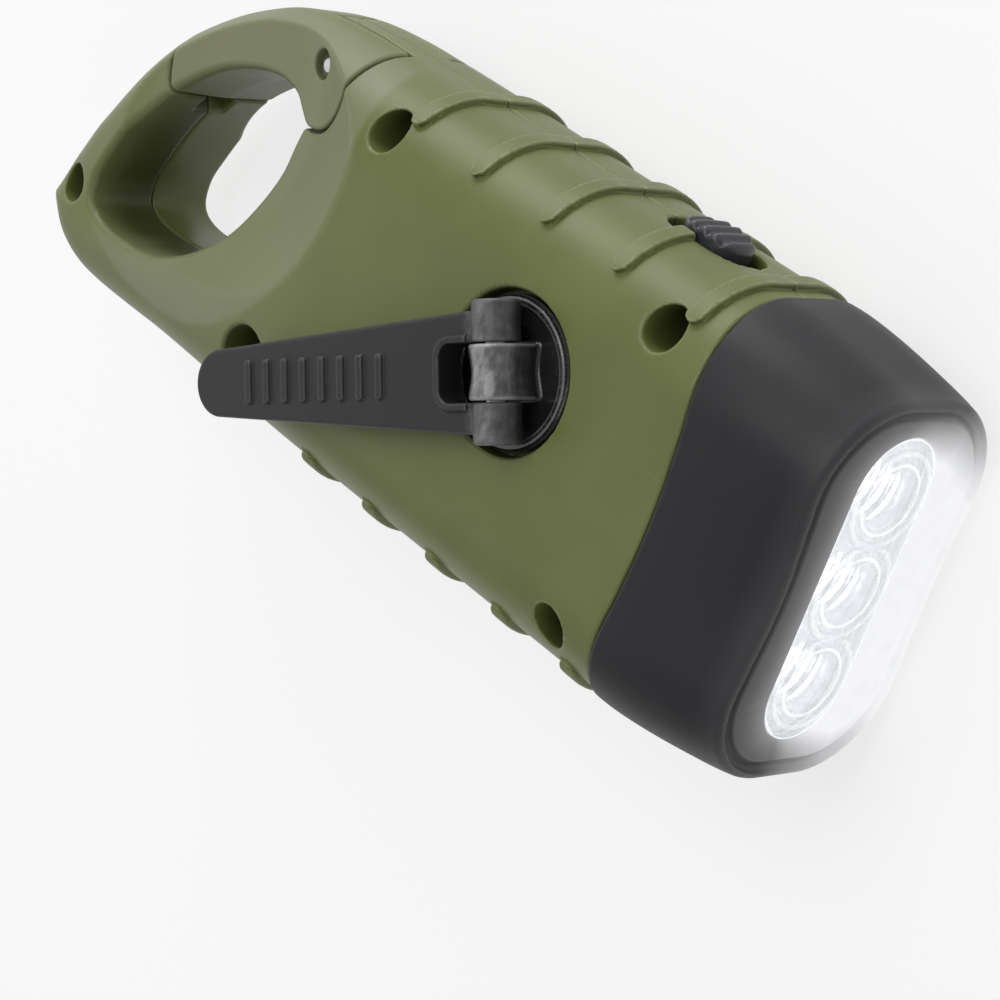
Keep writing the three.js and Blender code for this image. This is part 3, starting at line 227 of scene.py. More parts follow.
class Outline:
    """The signed distance to a closed plan outline, negative inside, kept on a grid and read smoothly."""

    def __init__(self, points, pitch=0.4, margin=6.0):
        ring = np.array(points, float)
        self.pitch = pitch
        self.low = ring.min(0) - margin
        self.count = np.ceil((ring.max(0) + margin - self.low) / pitch).astype(int) + 1
        axes = [self.low[i] + pitch * np.arange(self.count[i]) for i in range(2)]
        px, py = (side.ravel() for side in np.meshgrid(*axes, indexing="ij"))
        nearest = np.full(px.shape, 1e9)
        inside = np.zeros(px.shape, bool)
        for (ax, ay), (bx, by) in zip(ring, np.roll(ring, -1, 0)):
            ex, ey = bx - ax, by - ay
            along = np.clip(((px - ax) * ex + (py - ay) * ey) / (ex * ex + ey * ey + 1e-12), 0, 1)
            reach = (px - ax - along * ex) ** 2 + (py - ay - along * ey) ** 2
            nearest = np.minimum(nearest, reach)
            if ay != by:
                inside ^= ((ay > py) != (by > py)) & (px < ex * (py - ay) / ey + ax)
        distance = np.sqrt(nearest)
        self.grid = np.where(inside, -distance, distance).reshape(self.count)

    def __call__(self, x, y):
        high = self.low + self.pitch * (self.count - 1)
        cx = np.clip(x, self.low[0], high[0])
        cy = np.clip(y, self.low[1], high[1])
        beyond = np.hypot(x - cx, y - cy)
        gx = (cx - self.low[0]) / self.pitch
        gy = (cy - self.low[1]) / self.pitch
        ix = np.clip(gx.astype(int), 1, self.count[0] - 3)
        iy = np.clip(gy.astype(int), 1, self.count[1] - 3)
        wx, wy = bend_weights(gx - ix), bend_weights(gy - iy)
        total = np.zeros_like(gx)
        for i in range(4):
            row = sum(wy[j] * self.grid[ix + i - 1, iy + j - 1] for j in range(4))
            total += wx[i] * row
        return total + beyond


def bend_weights(t):
    """Weights of the four neighbours for a smooth reading between grid points."""
    return (
        0.5 * (-t + 2 * t * t - t ** 3),
        0.5 * (2 - 5 * t * t + 3 * t ** 3),
        0.5 * (t + 4 * t * t - 3 * t ** 3),
        0.5 * (t ** 3 - t * t),
    )


def profile(rows, pitch=0.25):
    """A smooth function through (place, value) rows."""
    chain = smooth(sorted(rows), per=10)
    places = np.arange(chain[0, 0], chain[-1, 0], pitch)
    values = np.interp(places, chain[:, 0], chain[:, 1])
    return lambda x: np.interp(x, places, values)


# Joining distances: negative is inside, r is the rounding of the edge that they make
def both(a, b, r):
    return np.minimum(-r, np.maximum(a, b)) + np.hypot(np.maximum(r + a, 0), np.maximum(r + b, 0))


def either(a, b, r):
    return np.maximum(r, np.minimum(a, b)) - np.hypot(np.maximum(r - a, 0), np.maximum(r - b, 0))


def less(a, b, r):
    return both(a, -b, r)


def soft_max(a, b, k):
    mix = np.clip(0.5 + 0.5 * (a - b) / k, 0, 1)
    return b + (a - b) * mix + k * mix * (1 - mix)


def disc(x, y, place, radius):
    return np.hypot(x - place[0], y - place[1]) - radius


def panel(a, b, half_a, half_b, corner):
    """A rounded rectangle round the axes' origin."""
    qa = np.abs(a) - half_a + corner
    qb = np.abs(b) - half_b + corner
    return np.hypot(np.maximum(qa, 0), np.maximum(qb, 0)) + np.minimum(np.maximum(qa, qb), 0) - corner


# Housing, clip and gate
clip_x = lambda share: BARREL_END - CLIP_LENGTH * share
plan_upper = [(clip_x(row[0]), HALF_WIDTH * row[1]) for row in CLIP_ROWS]
plan_lower = [(clip_x(row[0]), HALF_WIDTH * row[2]) for row in reversed(CLIP_ROWS)]
plan_chain = smooth([(-40.0, HALF_WIDTH)] + plan_upper + plan_lower + [(-40.0, -HALF_WIDTH)])
body_plan = Outline(np.vstack([[(6.0, HALF_WIDTH)], plan_chain, [(6.0, -HALF_WIDTH)]]))
body_thickness = profile(
    [(6.0, HALF_THICKNESS), (-40.0, HALF_THICKNESS)]
    + [(clip_x(row[0]), HALF_THICKNESS * row[3]) for row in CLIP_ROWS]
    + [(-146.0, HALF_THICKNESS * 0.62)]
)
hole_points = [(HOLE[0] - back * HOLE_HALF[0], HOLE[1] + across * HOLE_HALF[1]) for back, across in HOLE_ROWS]
hole_plan = Outline(smooth(hole_points + hole_points[:1])[:-1], pitch=0.3)
heel_start = math.degrees(
    math.atan2(GATE_CORNER[1] - PIN[1], GATE_CORNER[0] - PIN[0])
    - math.acos(HEEL_RADIUS / math.hypot(GATE_CORNER[0] - PIN[0], GATE_CORNER[1] - PIN[1]))
)
tip_seam = smooth([(-116.0, 4.5), (-116.7, 4.7), (-117.9, 4.65), (-119.05, 5.5), (-119.7, 6.8), (-120.3, 8.8),
                   (-120.8, 11.2), (-121.3, 15.2), (-122.0, 23.2)])
gate_plan = Outline(
    np.vstack([
        [(GATE_CORNER[0], 40.0), GATE_CORNER],
        arc(PIN, HEEL_RADIUS, heel_start, -125, 30),
        [(-103.7, 5.2), (-110.7, 1.2)],
        tip_seam,
        [(-122.7, 40.0)],
    ]),
    pitch=0.3,
    margin=3.0,
)
tongue_plan = Outline(
    [
        (-77.0, PIN[1] - TONGUE_RADIUS), (-77.0, 40.0), (TONGUE_END[0], 40.0), TONGUE_END,
        (PIN[0] - TONGUE_RADIUS / 2, PIN[1]), (PIN[0], PIN[1] - TONGUE_RADIUS / 2),
    ],
    pitch=0.3,
    margin=3.0,
)


def nose_outline(swing):
    """The gate's nose seen from above, swept along the swing."""
    inner, outer = NOSE_ANGLES[0] + swing, NOSE_ANGLES[1]
    near = arc(PIN, GATE_REACH - NOSE_LENGTH, inner, outer, 12)
    far = arc(PIN, GATE_REACH + NOSE_LENGTH, outer, inner, 12)
    return Outline(np.vstack([near, far]), pitch=0.2, margin=2.0)


nose_plan = nose_outline(0)
notch_plan = nose_outline(GATE_SWING)


def body_form(x, y, z):
    """The housing and clip with rounded edges, before anything is cut."""
    thickness = body_thickness(x)
    return both(body_plan(x, y), np.abs(z) - thickness, CORNER_SHARE * thickness)


def clip_form(x, y, z):
    """The outside: dished clip faces, the hole and the grip ribs."""
    form = body_form(x, y, z)
    reach = np.hypot(x - DISH[0], y - DISH[1]) - DISH_FLOOR_RADIUS
    face = DISH_FLOOR + DISH_SLOPE * soft_max(np.zeros_like(reach), reach, 4.0)
    dished = both(form, (np.abs(z) - face) * 0.92, 0.3)
    draft = 0.05 * (np.abs(z) - DISH_FLOOR)
    holed = less(dished, hole_plan(x, y) - draft, 1.1)
    index = np.clip(np.round((RIB_FIRST - x) / RIB_PITCH), 0, len(RIB_STARTS) - 1)
    across = x - RIB_FIRST + RIB_PITCH * index
    start = np.where(y > 0, RIB_STARTS[index.astype(int)], FAR_RIB_START)
    bar = np.hypot(across, np.minimum(np.abs(y) - start, 0)) - RIB_HALF
    height = np.where(y > 0, RIB_HEIGHT, np.clip((np.abs(y) - 20.8) / 2.5, 0.15, FAR_RIB_HEIGHT))
    rib = both(form - height, bar, 0.3)
    return either(holed, rib, 0.14)


def shaded(depth, share):
    """Painted shade in a housing half's recesses: deeper below the outside is darker."""
    def mask(x, y, z):
        reach = np.hypot(x - DISH[0], y - DISH[1])
        face = DISH_FLOOR + DISH_SLOPE * np.maximum(reach - DISH_FLOOR_RADIUS, 0)
        return share * np.clip(-np.maximum(body_form(x, y, z), np.abs(z) - face) / depth, 0, 1)
    return mask


def dish_painted_sheen(x, y, z):
    """The dished faces round the clip's hole, which get a paler, greyer painted sheen."""
    reach = np.hypot(x - DISH[0], y - DISH[1])
    level = np.clip((np.abs(z) - 5) / 2, 0, 1)
    return level * np.clip((DISH_RADIUS - 0.2 - reach) / 0.8, 0, 1) * np.clip((x + 134) / 22, 0.3, 1)


def gate_nose(plan, x, y, z, grow):
    return both(plan(x, y) - grow, np.abs(z) - NOSE_HALF - grow, 0.3)


def tongue(x, y, z):
    lug = disc(x, y, PIN, TONGUE_RADIUS)
    return both(np.minimum(tongue_plan(x, y), lug), np.abs(z) - TONGUE_HALF, 0.3)


def head_form(x, y, z):
    share = x / HEAD_END
    half_width = HEAD_HALF_WIDTH * head_width(share)
    half_thickness = HEAD_HALF_THICKNESS * head_thickness(share)
    pinch = head_waist(share) * np.where(z < 0, SOLAR_WAIST, 1) * np.exp(-((y / (half_width * 0.42)) ** 2))
    return panel(y, z / (1 - pinch), half_width, half_thickness, CORNER_SHARE * half_thickness)


head_width = profile([(row[0], row[1]) for row in HEAD_ROWS], 0.01)
head_thickness = profile([(row[0], row[2]) for row in HEAD_ROWS], 0.01)
head_waist = profile([(row[0], row[3]) for row in HEAD_ROWS], 0.01)


def seam_bow(y):
    return HEAD_BOW * np.clip(1 - (y / HEAD_HALF_WIDTH) ** 2, 0, 1)


def housing_shell(x, y, z):
    """What both halves share: walls, neck, gate pocket, tongue and switch slot."""
    outer = clip_form(x, y, z)
    walls = both(outer, x - HEAD_SEAM - seam_bow(y), 0.45)
    room = np.maximum(body_form(x, y, z) + WALL, CAVITY_END - x)
    shell = np.maximum(walls, -room)
    head = head_form(x, y, z)
    neck = np.maximum(head + NECK[0], -(head + NECK[1]))
    neck = np.maximum(neck, np.maximum(x - NECK_FRONT, NECK_BACK - x))
    shell = np.minimum(shell, neck)
    slot = np.maximum(panel(x - SWITCH_X, z, *SWITCH_SLOT), SWITCH_SLOT_FLOOR - y)
    shell = less(shell, slot, 0.4)
    pocket = np.minimum(gate_plan(x, y) - SEAM, gate_nose(notch_plan, x, y, z, SEAM))
    shell = less(shell, pocket, 0.5)
    held = np.maximum(outer, tongue(x, y, z))
    held = np.maximum(held, -np.maximum(disc(x, y, PIN, SPRING_ROOM[0]), np.abs(z) - SPRING_ROOM[1]))
    return np.maximum(np.minimum(shell, held), -disc(x, y, PIN, PIN_RADIUS + PIN_PLAY))


def screw_columns(x, y, radius):
    return np.minimum.reduce([disc(x, y, place, radius) for place in SCREWS])


def crank_half(x, y, z):
    form = body_form(x, y, z)
    hub = np.hypot(x - CRANK[0], y - CRANK[1])
    posts = np.maximum(screw_columns(x, y, SCREW_HOLE + 1), -z)
    for radius, level in (HUB_BOSS, HUB_BUSH):
        posts = np.minimum(posts, np.maximum(hub - radius, level - z))
    shell = np.minimum(housing_shell(x, y, z), np.maximum(posts, form + WALL * 0.7))
    shell = less(shell, np.maximum(hub - HUB_RECESS[0], HUB_RECESS[1] - z), 0.45)
    shell = np.maximum(shell, HUB_BORE - hub)
    shell = less(shell, np.maximum(disc(x, y, TIP_RECESS, TIP_RECESS_SIZE[0]), TIP_RECESS_SIZE[1] - z), 0.5)
    shell = less(shell, np.maximum(screw_columns(x, y, SCREW_HOLE), SCREW_FLOOR - z), 0.35)
    shell = np.maximum(shell, -screw_columns(x, y, SCREW_PASS))
    return both(shell, PARTING_GAP - z, PARTING_ROUND)


def solar_half(x, y, z):
    form = body_form(x, y, z)
    plan = frame_plan(x, y)
    bed = np.maximum(plan - PANEL_BED[0], z - PANEL_BED[1])
    posts = np.minimum(np.maximum(screw_columns(x, y, SCREW_HOLE + 1), z), bed)
    shell = np.minimum(housing_shell(x, y, z), np.maximum(posts, form + WALL * 0.7))
    shell = less(shell, np.maximum(plan - PANEL_SEAT[0], z - PANEL_SEAT[1]), 0.3)
    shell = np.maximum(shell, -np.maximum(screw_columns(x, y, SCREW_PILOT), PILOT_END - z))
    return both(shell, z + PARTING_GAP, PARTING_ROUND)


def clip_gate(x, y, z):
    outer = clip_form(x, y, z)
    body = both(outer, np.minimum(gate_plan(x, y) + SEAM, gate_nose(nose_plan, x, y, z, -SEAM)), 0.5)
    dx, dy = x - PIN[0], y - PIN[1]
    reach = np.hypot(dx, dy)
    front, rear = (math.radians(angle) for angle in TONGUE_SWEEP)
    web = np.maximum(dx * math.sin(front) - dy * math.cos(front), dy * math.cos(rear) - dx * math.sin(rear))
    slot = np.minimum(-web, reach - TONGUE_RADIUS - TONGUE_PLAY)
    body = less(body, np.maximum(np.abs(z) - TONGUE_HALF - TONGUE_PLAY, slot), 0.3)
    body = less(body, np.maximum(reach - RIVET_RECESS[0], RIVET_RECESS[1] - np.abs(z)), 0.3)
    return np.maximum(body, PIN_RADIUS + PIN_PLAY - reach)


def gate_rivet(x, y, z):
    return both(disc(x, y, PIN, PIN_RADIUS), np.abs(z) - PIN_END, 0.55)


# Lens head
def rim_inset(x, y, z):
    """Distance outwards from the inner edge of the head's lip."""
    return head_form(np.zeros_like(x), y, z) + LIP


def lens_bezel(x, y, z):
    """The head's shell with a rounded lip and a sloped ring round the window."""
    side = head_form(x, y, z)
    skin = both(both(side, x, 1.2), HEAD_END + seam_bow(y) - x, 0.5)
    room = np.maximum(side + HEAD_WALL, x + HEAD_WINDOW_WALL)
    window = panel(y, z, *WINDOW_HALF, WINDOW_HALF[1])
    front = rim_inset(x, y, z)
    slope = np.clip(window / np.maximum(window - front, 0.1), 0, 1)
    floor_x = WINDOW_X + 0.1 + (RING_X - WINDOW_X) * slope
    shell = less(np.maximum(skin, -room), np.maximum(front, (floor_x - x) * 0.95), 0.45)
    inset, behind, radius = LIP_GROOVE
    shell = less(shell, np.hypot(front + inset, x + behind) - radius, 0.35)
    return less(shell, window, 0.2)


def painted_rim_glow(x, y, z):
    """How much painted glow the rim gets: most by the window and on its solar side, cut back in the crease
    inside the lip as a painted dark line, except on the solar side.
    """
    window = panel(y, z, *WINDOW_HALF, WINDOW_HALF[1])
    near = np.exp(-np.maximum(window, 0) / 2.6) * 0.62
    side = np.clip((2.0 - z) / 9, 0, 1) * np.clip(1.3 - (np.abs(y + 2) / 21) ** 2, 0, 1)
    crease = np.exp(-(((rim_inset(x, y, z) + LIP_GROOVE[0]) / 0.42) ** 2))
    groove = 1 - 0.8 * np.clip(1 - side * 1.3, 0, 1) * crease
    return groove * np.clip(x + 4.2, 0, 3) / 3 * np.clip(near * (0.42 + 0.8 * side) + side, 0, 1)


def lens_cover(x, y, z):
    """The clear window with its three ringed lenses."""
    half_y, half_z = WINDOW_HALF
    inner = both(panel(y, z, half_y - 0.1, half_z - 0.1, half_z - 0.1), np.abs(x + 2.1) - 1.0, 0.15)
    flange = np.maximum(panel(y, z, half_y + 1.0, half_z + 1.0, half_z + 1.0), np.abs(x + 2.85) - 0.4)
    plate = np.minimum(inner, flange)
    for lamp_y in LAMP_ROW:
        reach = np.hypot(y - lamp_y, z)
        for radius, size in LENS_RINGS:
            plate = either(plate, np.hypot(reach - radius, x + 1.15) - size, 0.12)
        plate = either(plate, np.hypot(reach, x + 5.0) - 4.2, 0.15)
    return plate


def reflector_cups(x, y, z):
    block = both(head_form(x, y, z) + 2.35, np.abs(x + 6.65) - 3.1, 0.2)
    for lamp_y in LAMP_ROW:
        reach = np.hypot(y - lamp_y, z)
        depth = -3.55 - x
        ripple = np.where(depth < 5.2, 0.14 * np.cos(depth * 5.2), 0)
        radius = np.interp(depth, *CUP_STEPS) + ripple
        block = less(block, reach - radius, 0.2)
    return block


def lamp_dome(lamp_y):
    def field(x, y, z):
        reach = np.hypot(y - lamp_y, z)
        dome = np.hypot(reach, np.maximum(x + 7.5, 0)) - 2.5
        body = np.maximum(dome, -9.8 - x)
        return np.minimum(body, both(reach - 2.9, np.maximum(x + 8.8, -9.8 - x), 0.15))
    return field


# Crank
def crank_axes(x, y):
    dx, dy = x - CRANK[0], y - CRANK[1]
    cos, sin = math.cos(CRANK_ANGLE), math.sin(CRANK_ANGLE)
    return dx * cos + dy * sin, dy * cos - dx * sin


arm_end = arc((ARM_REACH - ARM_TIP, 0), ARM_TIP, -87, 87, 30)
arm_plan = Outline(
    np.vstack([[(HINGE_U, -ARM_HALF_WIDTH)], arm_end, [(HINGE_U, ARM_HALF_WIDTH)]]),
    pitch=0.3,
    margin=3.0,
)


def hinge_wear_and_highlight(x, y, z):
    """Where the hinge is rubbed, with a painted highlight band along its top."""
    u = crank_axes(x, y)[0] - HINGE_U
    band = 0.3 + 0.7 * np.exp(-(((u + 0.35) / 1.1) ** 2))
    return band * np.clip((3.7 - np.hypot(u, z - HINGE_Z)) / 0.5, 0, 1) * np.clip(z - HINGE_Z + 0.6, 0, 1)


def folding_arm(x, y, z):
    u, v = crank_axes(x, y)
    plan = arm_plan(u, v)
    level = z - HINGE_Z
    plate = both(plan, np.abs(level) - ARM_HALF_THICKNESS, 0.5)
    index = np.clip(np.round((u - GRIP_FIRST) / GRIP_PITCH), 0, GRIP_COUNT - 1)
    bar = panel(u - GRIP_FIRST - GRIP_PITCH * index, v, *GRIP_HALF, 0.5)
    bar = both(bar, level - ARM_HALF_THICKNESS - 0.38, 0.25)
    plate = either(plate, np.maximum(bar, -level), 0.2)
    slot = panel(u - SLOT_END + SLOT_HALF[0], v, *SLOT_HALF, 1.6)
    lip = both(slot - 0.95, level - ARM_HALF_THICKNESS - 0.42, 0.4)
    plate = either(plate, np.maximum(np.maximum(lip, -level), 1.5 - u), 0.15)
    barrel = both(np.hypot(u - HINGE_U, level) - BARREL, np.abs(v) - 7.9, 0.45)
    body = either(plate, barrel, 0.25)
    body = less(body, slot, 0.3)
    channel = np.maximum(np.maximum(plan + 1.5, 12.0 - u), level)
    body = less(body, channel, 0.3)
    return np.maximum(body, PIN_RADIUS + PIN_PLAY - np.hypot(u - HINGE_U, level))


def hub_and_knuckle(x, y, z):
    u, v = crank_axes(x, y)
    reach = np.hypot(u, v)
    plate = both(reach - HUB_DISC, np.abs(z - 13.75) - 0.95, 0.4)
    plate = either(plate, both(np.abs(reach - 7.95) - 0.45, np.abs(z - 14.6) - 0.42, 0.25), 0.15)
    shaft = np.maximum(reach - HUB_SHAFT, np.maximum(z - 13.0, -4.2 - z))
    saddle = KNUCKLE - 0.35 * np.cos(np.clip(v / KNUCKLE_HALF, -1, 1) * math.pi / 2) ** 2
    level = z - HINGE_Z
    knuckle = both(np.hypot(u - HINGE_U, level) - saddle, np.abs(v) - KNUCKLE_HALF, 0.35)
    pedestal = both(np.abs(u - HINGE_U) - saddle, np.abs(v) - KNUCKLE_HALF, 0.35)
    pedestal = np.maximum(pedestal, np.maximum(level, 14.2 - z))
    body = either(plate, np.minimum(knuckle, pedestal), 0.5)
    body = np.minimum(body, shaft)
    return np.maximum(body, PIN_RADIUS + PIN_PLAY - np.hypot(u - HINGE_U, level))


# Switch and solar panel
def slide_button(x, y, z):
    u = x - SWITCH_X
    ridges = 0.24 * np.cos(2 * math.pi * u / RIDGE_PITCH) * np.clip(4.4 - np.abs(u), 0, 1)
    crown = BUTTON_TOP + 0.1 - 0.012 * z * z - 0.035 * u * u + ridges
    oval = both(panel(u, z, *BUTTON_CAP), y - crown, 0.7)
    cap = np.maximum(oval, 22.0 - y)
    length, width, level = BUTTON_FLANGE
    flange = np.maximum(np.maximum(np.abs(u) - length, np.abs(z) - width), np.abs(y - level) - 0.45)
    stem = np.maximum(np.maximum(np.abs(u) - 1.5, np.abs(z) - 1.5), np.maximum(y - 22.1, 19.85 - y))
    return np.minimum(np.minimum(cap, flange), stem)


def bowed(start, pull, end, steps=8):
    """Points on a curve from start to end, pulled towards a third point."""
    t = np.linspace(0, 1, steps, endpoint=False)[:, None]
    a, b, c = (np.array(point, float) for point in (start, pull, end))
    return (1 - t) ** 2 * a + 2 * t * (1 - t) * b + t * t * c


def frame_ring():
    f, b, h, c, g = FRAME_FRONT, FRAME_BACK, FRAME_HALF, FRAME_CORNER, FRAME_BULGE
    return np.vstack([
        bowed((f, h - c), (f, h), (f - c, h)),
        bowed((b + c, h), (b, h), (b - g / 4, h - c)),
        bowed((b - g / 4, h - c), (b - 2 * g, 0), (b - g / 4, c - h), 24),
        bowed((b - g / 4, c - h), (b, -h), (b + c, -h)),
        bowed((f - c, -h), (f, -h), (f, c - h)),
    ])


frame_plan = Outline(frame_ring())


def panel_frame(x, y, z):
    depth = z - FRAME_RIM
    rim = both(frame_plan(x, y), np.abs(depth - 1.25) - 1.25, 0.55)
    middle = (CELL_FRONT + CELL_BACK) / 2
    half = (CELL_FRONT - CELL_BACK) / 2
    window = panel(x - middle, y, half, CELL_HALF, 1.0)
    slope = np.clip((0.75 - depth) / 0.75, 0, 1.4) * 1.3
    rim = less(rim, (window - slope) * 0.8, 0.12)
    groove = np.hypot(frame_plan(x, y) + 1.5, depth) - 0.22
    rim = less(rim, groove, 0.1)
    rebate = np.maximum(panel(x - middle, y, half + 1.5, CELL_HALF + 1.5, 0.3), 1.45 - depth)
    return np.maximum(rim, -rebate)


def cross_screw(place):
    def field(x, y, z):
        dx, dy = x - place[0], y - place[1]
        reach = np.hypot(dx, dy)
        turn = math.radians(20 + 40 * abs(place[1]) / 7)
        a = dx * math.cos(turn) + dy * math.sin(turn)
        b = dy * math.cos(turn) - dx * math.sin(turn)
        head = both(reach - SCREW_HEAD, np.maximum(z - 5.25 + 0.06 * reach * reach, 3.6 - z), 0.3)
        cross = np.minimum(np.abs(a), np.abs(b)) - 0.35
        cross = np.maximum(np.maximum(cross, reach - 1.3), 4.3 + 0.4 * reach - z)
        shank = np.maximum(reach - SCREW_SHANK, np.maximum(z - 3.7, -6.0 - z))
        return np.minimum(less(head, cross, 0.1), shank)
    return field


# Meshes from fields
EDGE_SPAN = 0.3  # how far the bend of a surface is felt, for the mark of its edges
EDGE_GAIN = 0.22


def gradient(field, points, span):
    """Slope of a field at points, from four corners round each."""
    total = np.zeros_like(points)
    for corner in np.array([(1, -1, -1), (-1, -1, 1), (-1, 1, -1), (1, 1, 1)], float):
        total += corner * field(*(points + corner * span).T)[:, None]
    return total / (4 * span)


def in_chunks(work, points, size=150000):
    return np.concatenate([work(points[i:i + size]) for i in range(0, len(points), size)])


def sample(field, low, step, count):
    """Field values on the grid points near the surface; the rest stay far."""
    block = 4
    blocks = [math.ceil((n - 1) / block) for n in count]
    centres = [low[i] + step * block * (np.arange(blocks[i]) + 0.5) for i in range(3)]
    mids = np.stack(np.meshgrid(*centres, indexing="ij"), -1).reshape(-1, 3)
    near = np.abs(in_chunks(lambda p: field(*p.T), mids)) < step * block * 1.25
    near = near.reshape(blocks)
    wanted = np.zeros([n * block + 1 for n in blocks], bool)
    for place in np.argwhere(near) * block:
        wanted[tuple(slice(start, start + block + 1) for start in place)] = True
    values = np.full(wanted.shape, np.nan)
    places = np.argwhere(wanted)
    values[wanted] = in_chunks(lambda p: field(*p.T), low + step * places)
    return values


def skin_of(field, low, high, step):
    """Points and four-sided faces of the field's zero surface, with the corners kept."""
    low = np.array(low, float)
    count = np.ceil((np.array(high, float) - low) / step).astype(int) + 1
    values = sample(field, low, step, count)
    shape = np.array(values.shape) - 1
    number = np.arange(shape.prod()).reshape(shape)
    cells, points, normals, quads = [], [], [], []
    for axis in range(3):
        a, b = (axis + 1) % 3, (axis + 2) % 3
        first = [slice(1, -1)] * 3
        second = [slice(1, -1)] * 3
        first[axis], second[axis] = slice(0, -1), slice(1, None)
        v0, v1 = values[tuple(first)], values[tuple(second)]
        crossed = np.argwhere(((v0 < 0) != (v1 < 0)) & ~np.isnan(v0) & ~np.isnan(v1))
        start = crossed.copy()
        start[:, a] += 1
        start[:, b] += 1
        w0, w1 = v0[tuple(crossed.T)], v1[tuple(crossed.T)]
        point = low + step * start.astype(float)
        point[:, axis] += step * w0 / (w0 - w1)
        around = []
        for da, db in ((-1, -1), (0, -1), (0, 0), (-1, 0)):
            cell = start.copy()
            cell[:, a] += da
            cell[:, b] += db
            around.append(number[tuple(cell.T)])
        around = np.stack(around, 1)
        around[w0 > 0] = around[w0 > 0][:, ::-1]
        quads.append(around)
        cells.append(around.ravel())
        points.append(np.repeat(point, 4, 0))
    quads = np.concatenate(quads)
    cells = np.concatenate(cells)
    points = np.concatenate(points)
    normals = in_chunks(lambda p: gradient(field, p, step * 0.12), points[::4])
    normals /= np.linalg.norm(normals, axis=1, keepdims=True) + 1e-9
    normals = np.repeat(normals, 4, 0)
    used, slots = np.unique(cells, return_inverse=True)
    tally = np.bincount(slots).astype(float)
    middle = np.stack([np.bincount(slots, points[:, i]) for i in range(3)], 1) / tally[:, None]
    offset = ((points - middle[slots]) * normals).sum(1)
    pull = np.stack([np.bincount(slots, normals[:, i] * offset) for i in range(3)], 1)
    square = np.empty((len(used), 3, 3))
    for i in range(3):
        for j in range(3):
            square[:, i, j] = np.bincount(slots, normals[:, i] * normals[:, j])
        square[:, i, i] += 0.06 * tally
    moved = middle + np.linalg.solve(square, pull[:, :, None])[:, :, 0]
    corner = low + step * np.stack(np.unravel_index(used, tuple(shape)), 1)
    moved = np.clip(moved, corner, corner + step)
    return moved, np.searchsorted(used, quads)


def settle(field, points, limit):
    """Moves points onto the surface along its slope, by no more than the limit."""
    for _ in range(2):
        value = field(*points.T)
        slope = gradient(field, points, 0.05)
        step = -value[:, None] * slope / ((slope ** 2).sum(1, keepdims=True) + 0.1)
        length = np.linalg.norm(step, axis=1, keepdims=True)
        points = points + step * np.minimum(1, limit / (length + 1e-9))
    return points


def piece(name, field, low, high, step, finish, body, nodes, keep=0.5, marks=None):
    """A mesh piece of the flashlight from its field, riding on a body in place of CAD nodes."""
    points, quads = skin_of(field, low, high, step)
    mesh = bpy.data.meshes.new(name)
    mesh.from_pydata(points.tolist(), [], quads.tolist())
    obj = bpy.data.objects.new(name, mesh)
    bpy.context.collection.objects.link(obj)
    thin = obj.modifiers.new("thin", "DECIMATE")
    thin.ratio = keep
    bpy.context.view_layer.update()
    ready = obj.evaluated_get(bpy.context.evaluated_depsgraph_get())
    fresh = bpy.data.meshes.new_from_object(ready)
    obj.modifiers.remove(thin)
    obj.data = fresh
    bpy.data.meshes.remove(mesh)
    mesh = fresh
    mesh.name = name
    places = np.empty(len(mesh.vertices) * 3)
    mesh.vertices.foreach_get("co", places)
    places = settle(field, places.reshape(-1, 3), step * 0.5)
    hold = field(*places.T)
    bend = sum(field(*(places + shift).T) for shift in np.vstack([np.eye(3), -np.eye(3)]) * EDGE_SPAN)
    edge = np.clip((bend - 6 * hold) / EDGE_SPAN ** 2 * EDGE_GAIN, -1, 1)
    corners = np.empty(len(mesh.loops), int)
    mesh.loops.foreach_get("vertex_index", corners)
    totals = np.empty(len(mesh.polygons), int)
    mesh.polygons.foreach_get("loop_total", totals)
    face_of = np.repeat(np.arange(len(totals)), totals)
    middles = np.stack([np.bincount(face_of, places[corners][:, i]) for i in range(3)], 1) / totals[:, None]
    inward = middles[face_of] - places[corners]
    length = np.linalg.norm(inward, axis=1, keepdims=True) + 1e-9
    inner = places[corners] + inward * np.minimum(0.4, step * 0.3 / length)
    normals = in_chunks(lambda p: gradient(field, p, step * 0.15), inner)
    normals /= np.linalg.norm(normals, axis=1, keepdims=True) + 1e-9
    world = (places + (LENS_RIM, 0, PARTING)) * MM
    mesh.vertices.foreach_set("co", world.ravel())
    mesh.polygons.foreach_set("use_smooth", np.ones(len(mesh.polygons), bool))
    marked = {"edge": edge} | {title: mask(*places.T) for title, mask in (marks or {}).items()}
    for title, values in marked.items():
        mark = mesh.attributes.new(title, "FLOAT", "POINT")
        mark.data.foreach_set("value", values.astype(np.float32))
    mesh.update()
    mesh.normals_split_custom_set(normals.tolist())
    mesh.materials.append(finish.material)
    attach(obj, body)
    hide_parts(*nodes)


# Materials
class Value:
    """A shader socket that takes part in plain expressions."""

    def __init__(self, tree, socket):
        self.tree, self.socket = tree, socket

    def maths(self, operation, *others):
        node = self.tree.add("ShaderNodeMath", {"operation": operation}, [self, *others])
        return Value(self.tree, node.outputs[0])

    def __add__(self, other):
        return self.maths("ADD", other)

    def __sub__(self, other):
        return self.maths("SUBTRACT", other)

    def __mul__(self, other):
        return self.maths("MULTIPLY", other)

    def __rsub__(self, other):
        node = self.tree.add("ShaderNodeMath", {"operation": "SUBTRACT"}, [other, self])
        return Value(self.tree, node.outputs[0])

    __radd__ = __add__
    __rmul__ = __mul__

    def between(self, low, high):
        """0 below low, 1 above high, smooth between."""
        sockets = {"Value": self, "From Min": low, "From Max": high}
        node = self.tree.add("ShaderNodeMapRange", {"interpolation_type": "SMOOTHSTEP"}, sockets)
        return Value(self.tree, node.outputs["Result"])


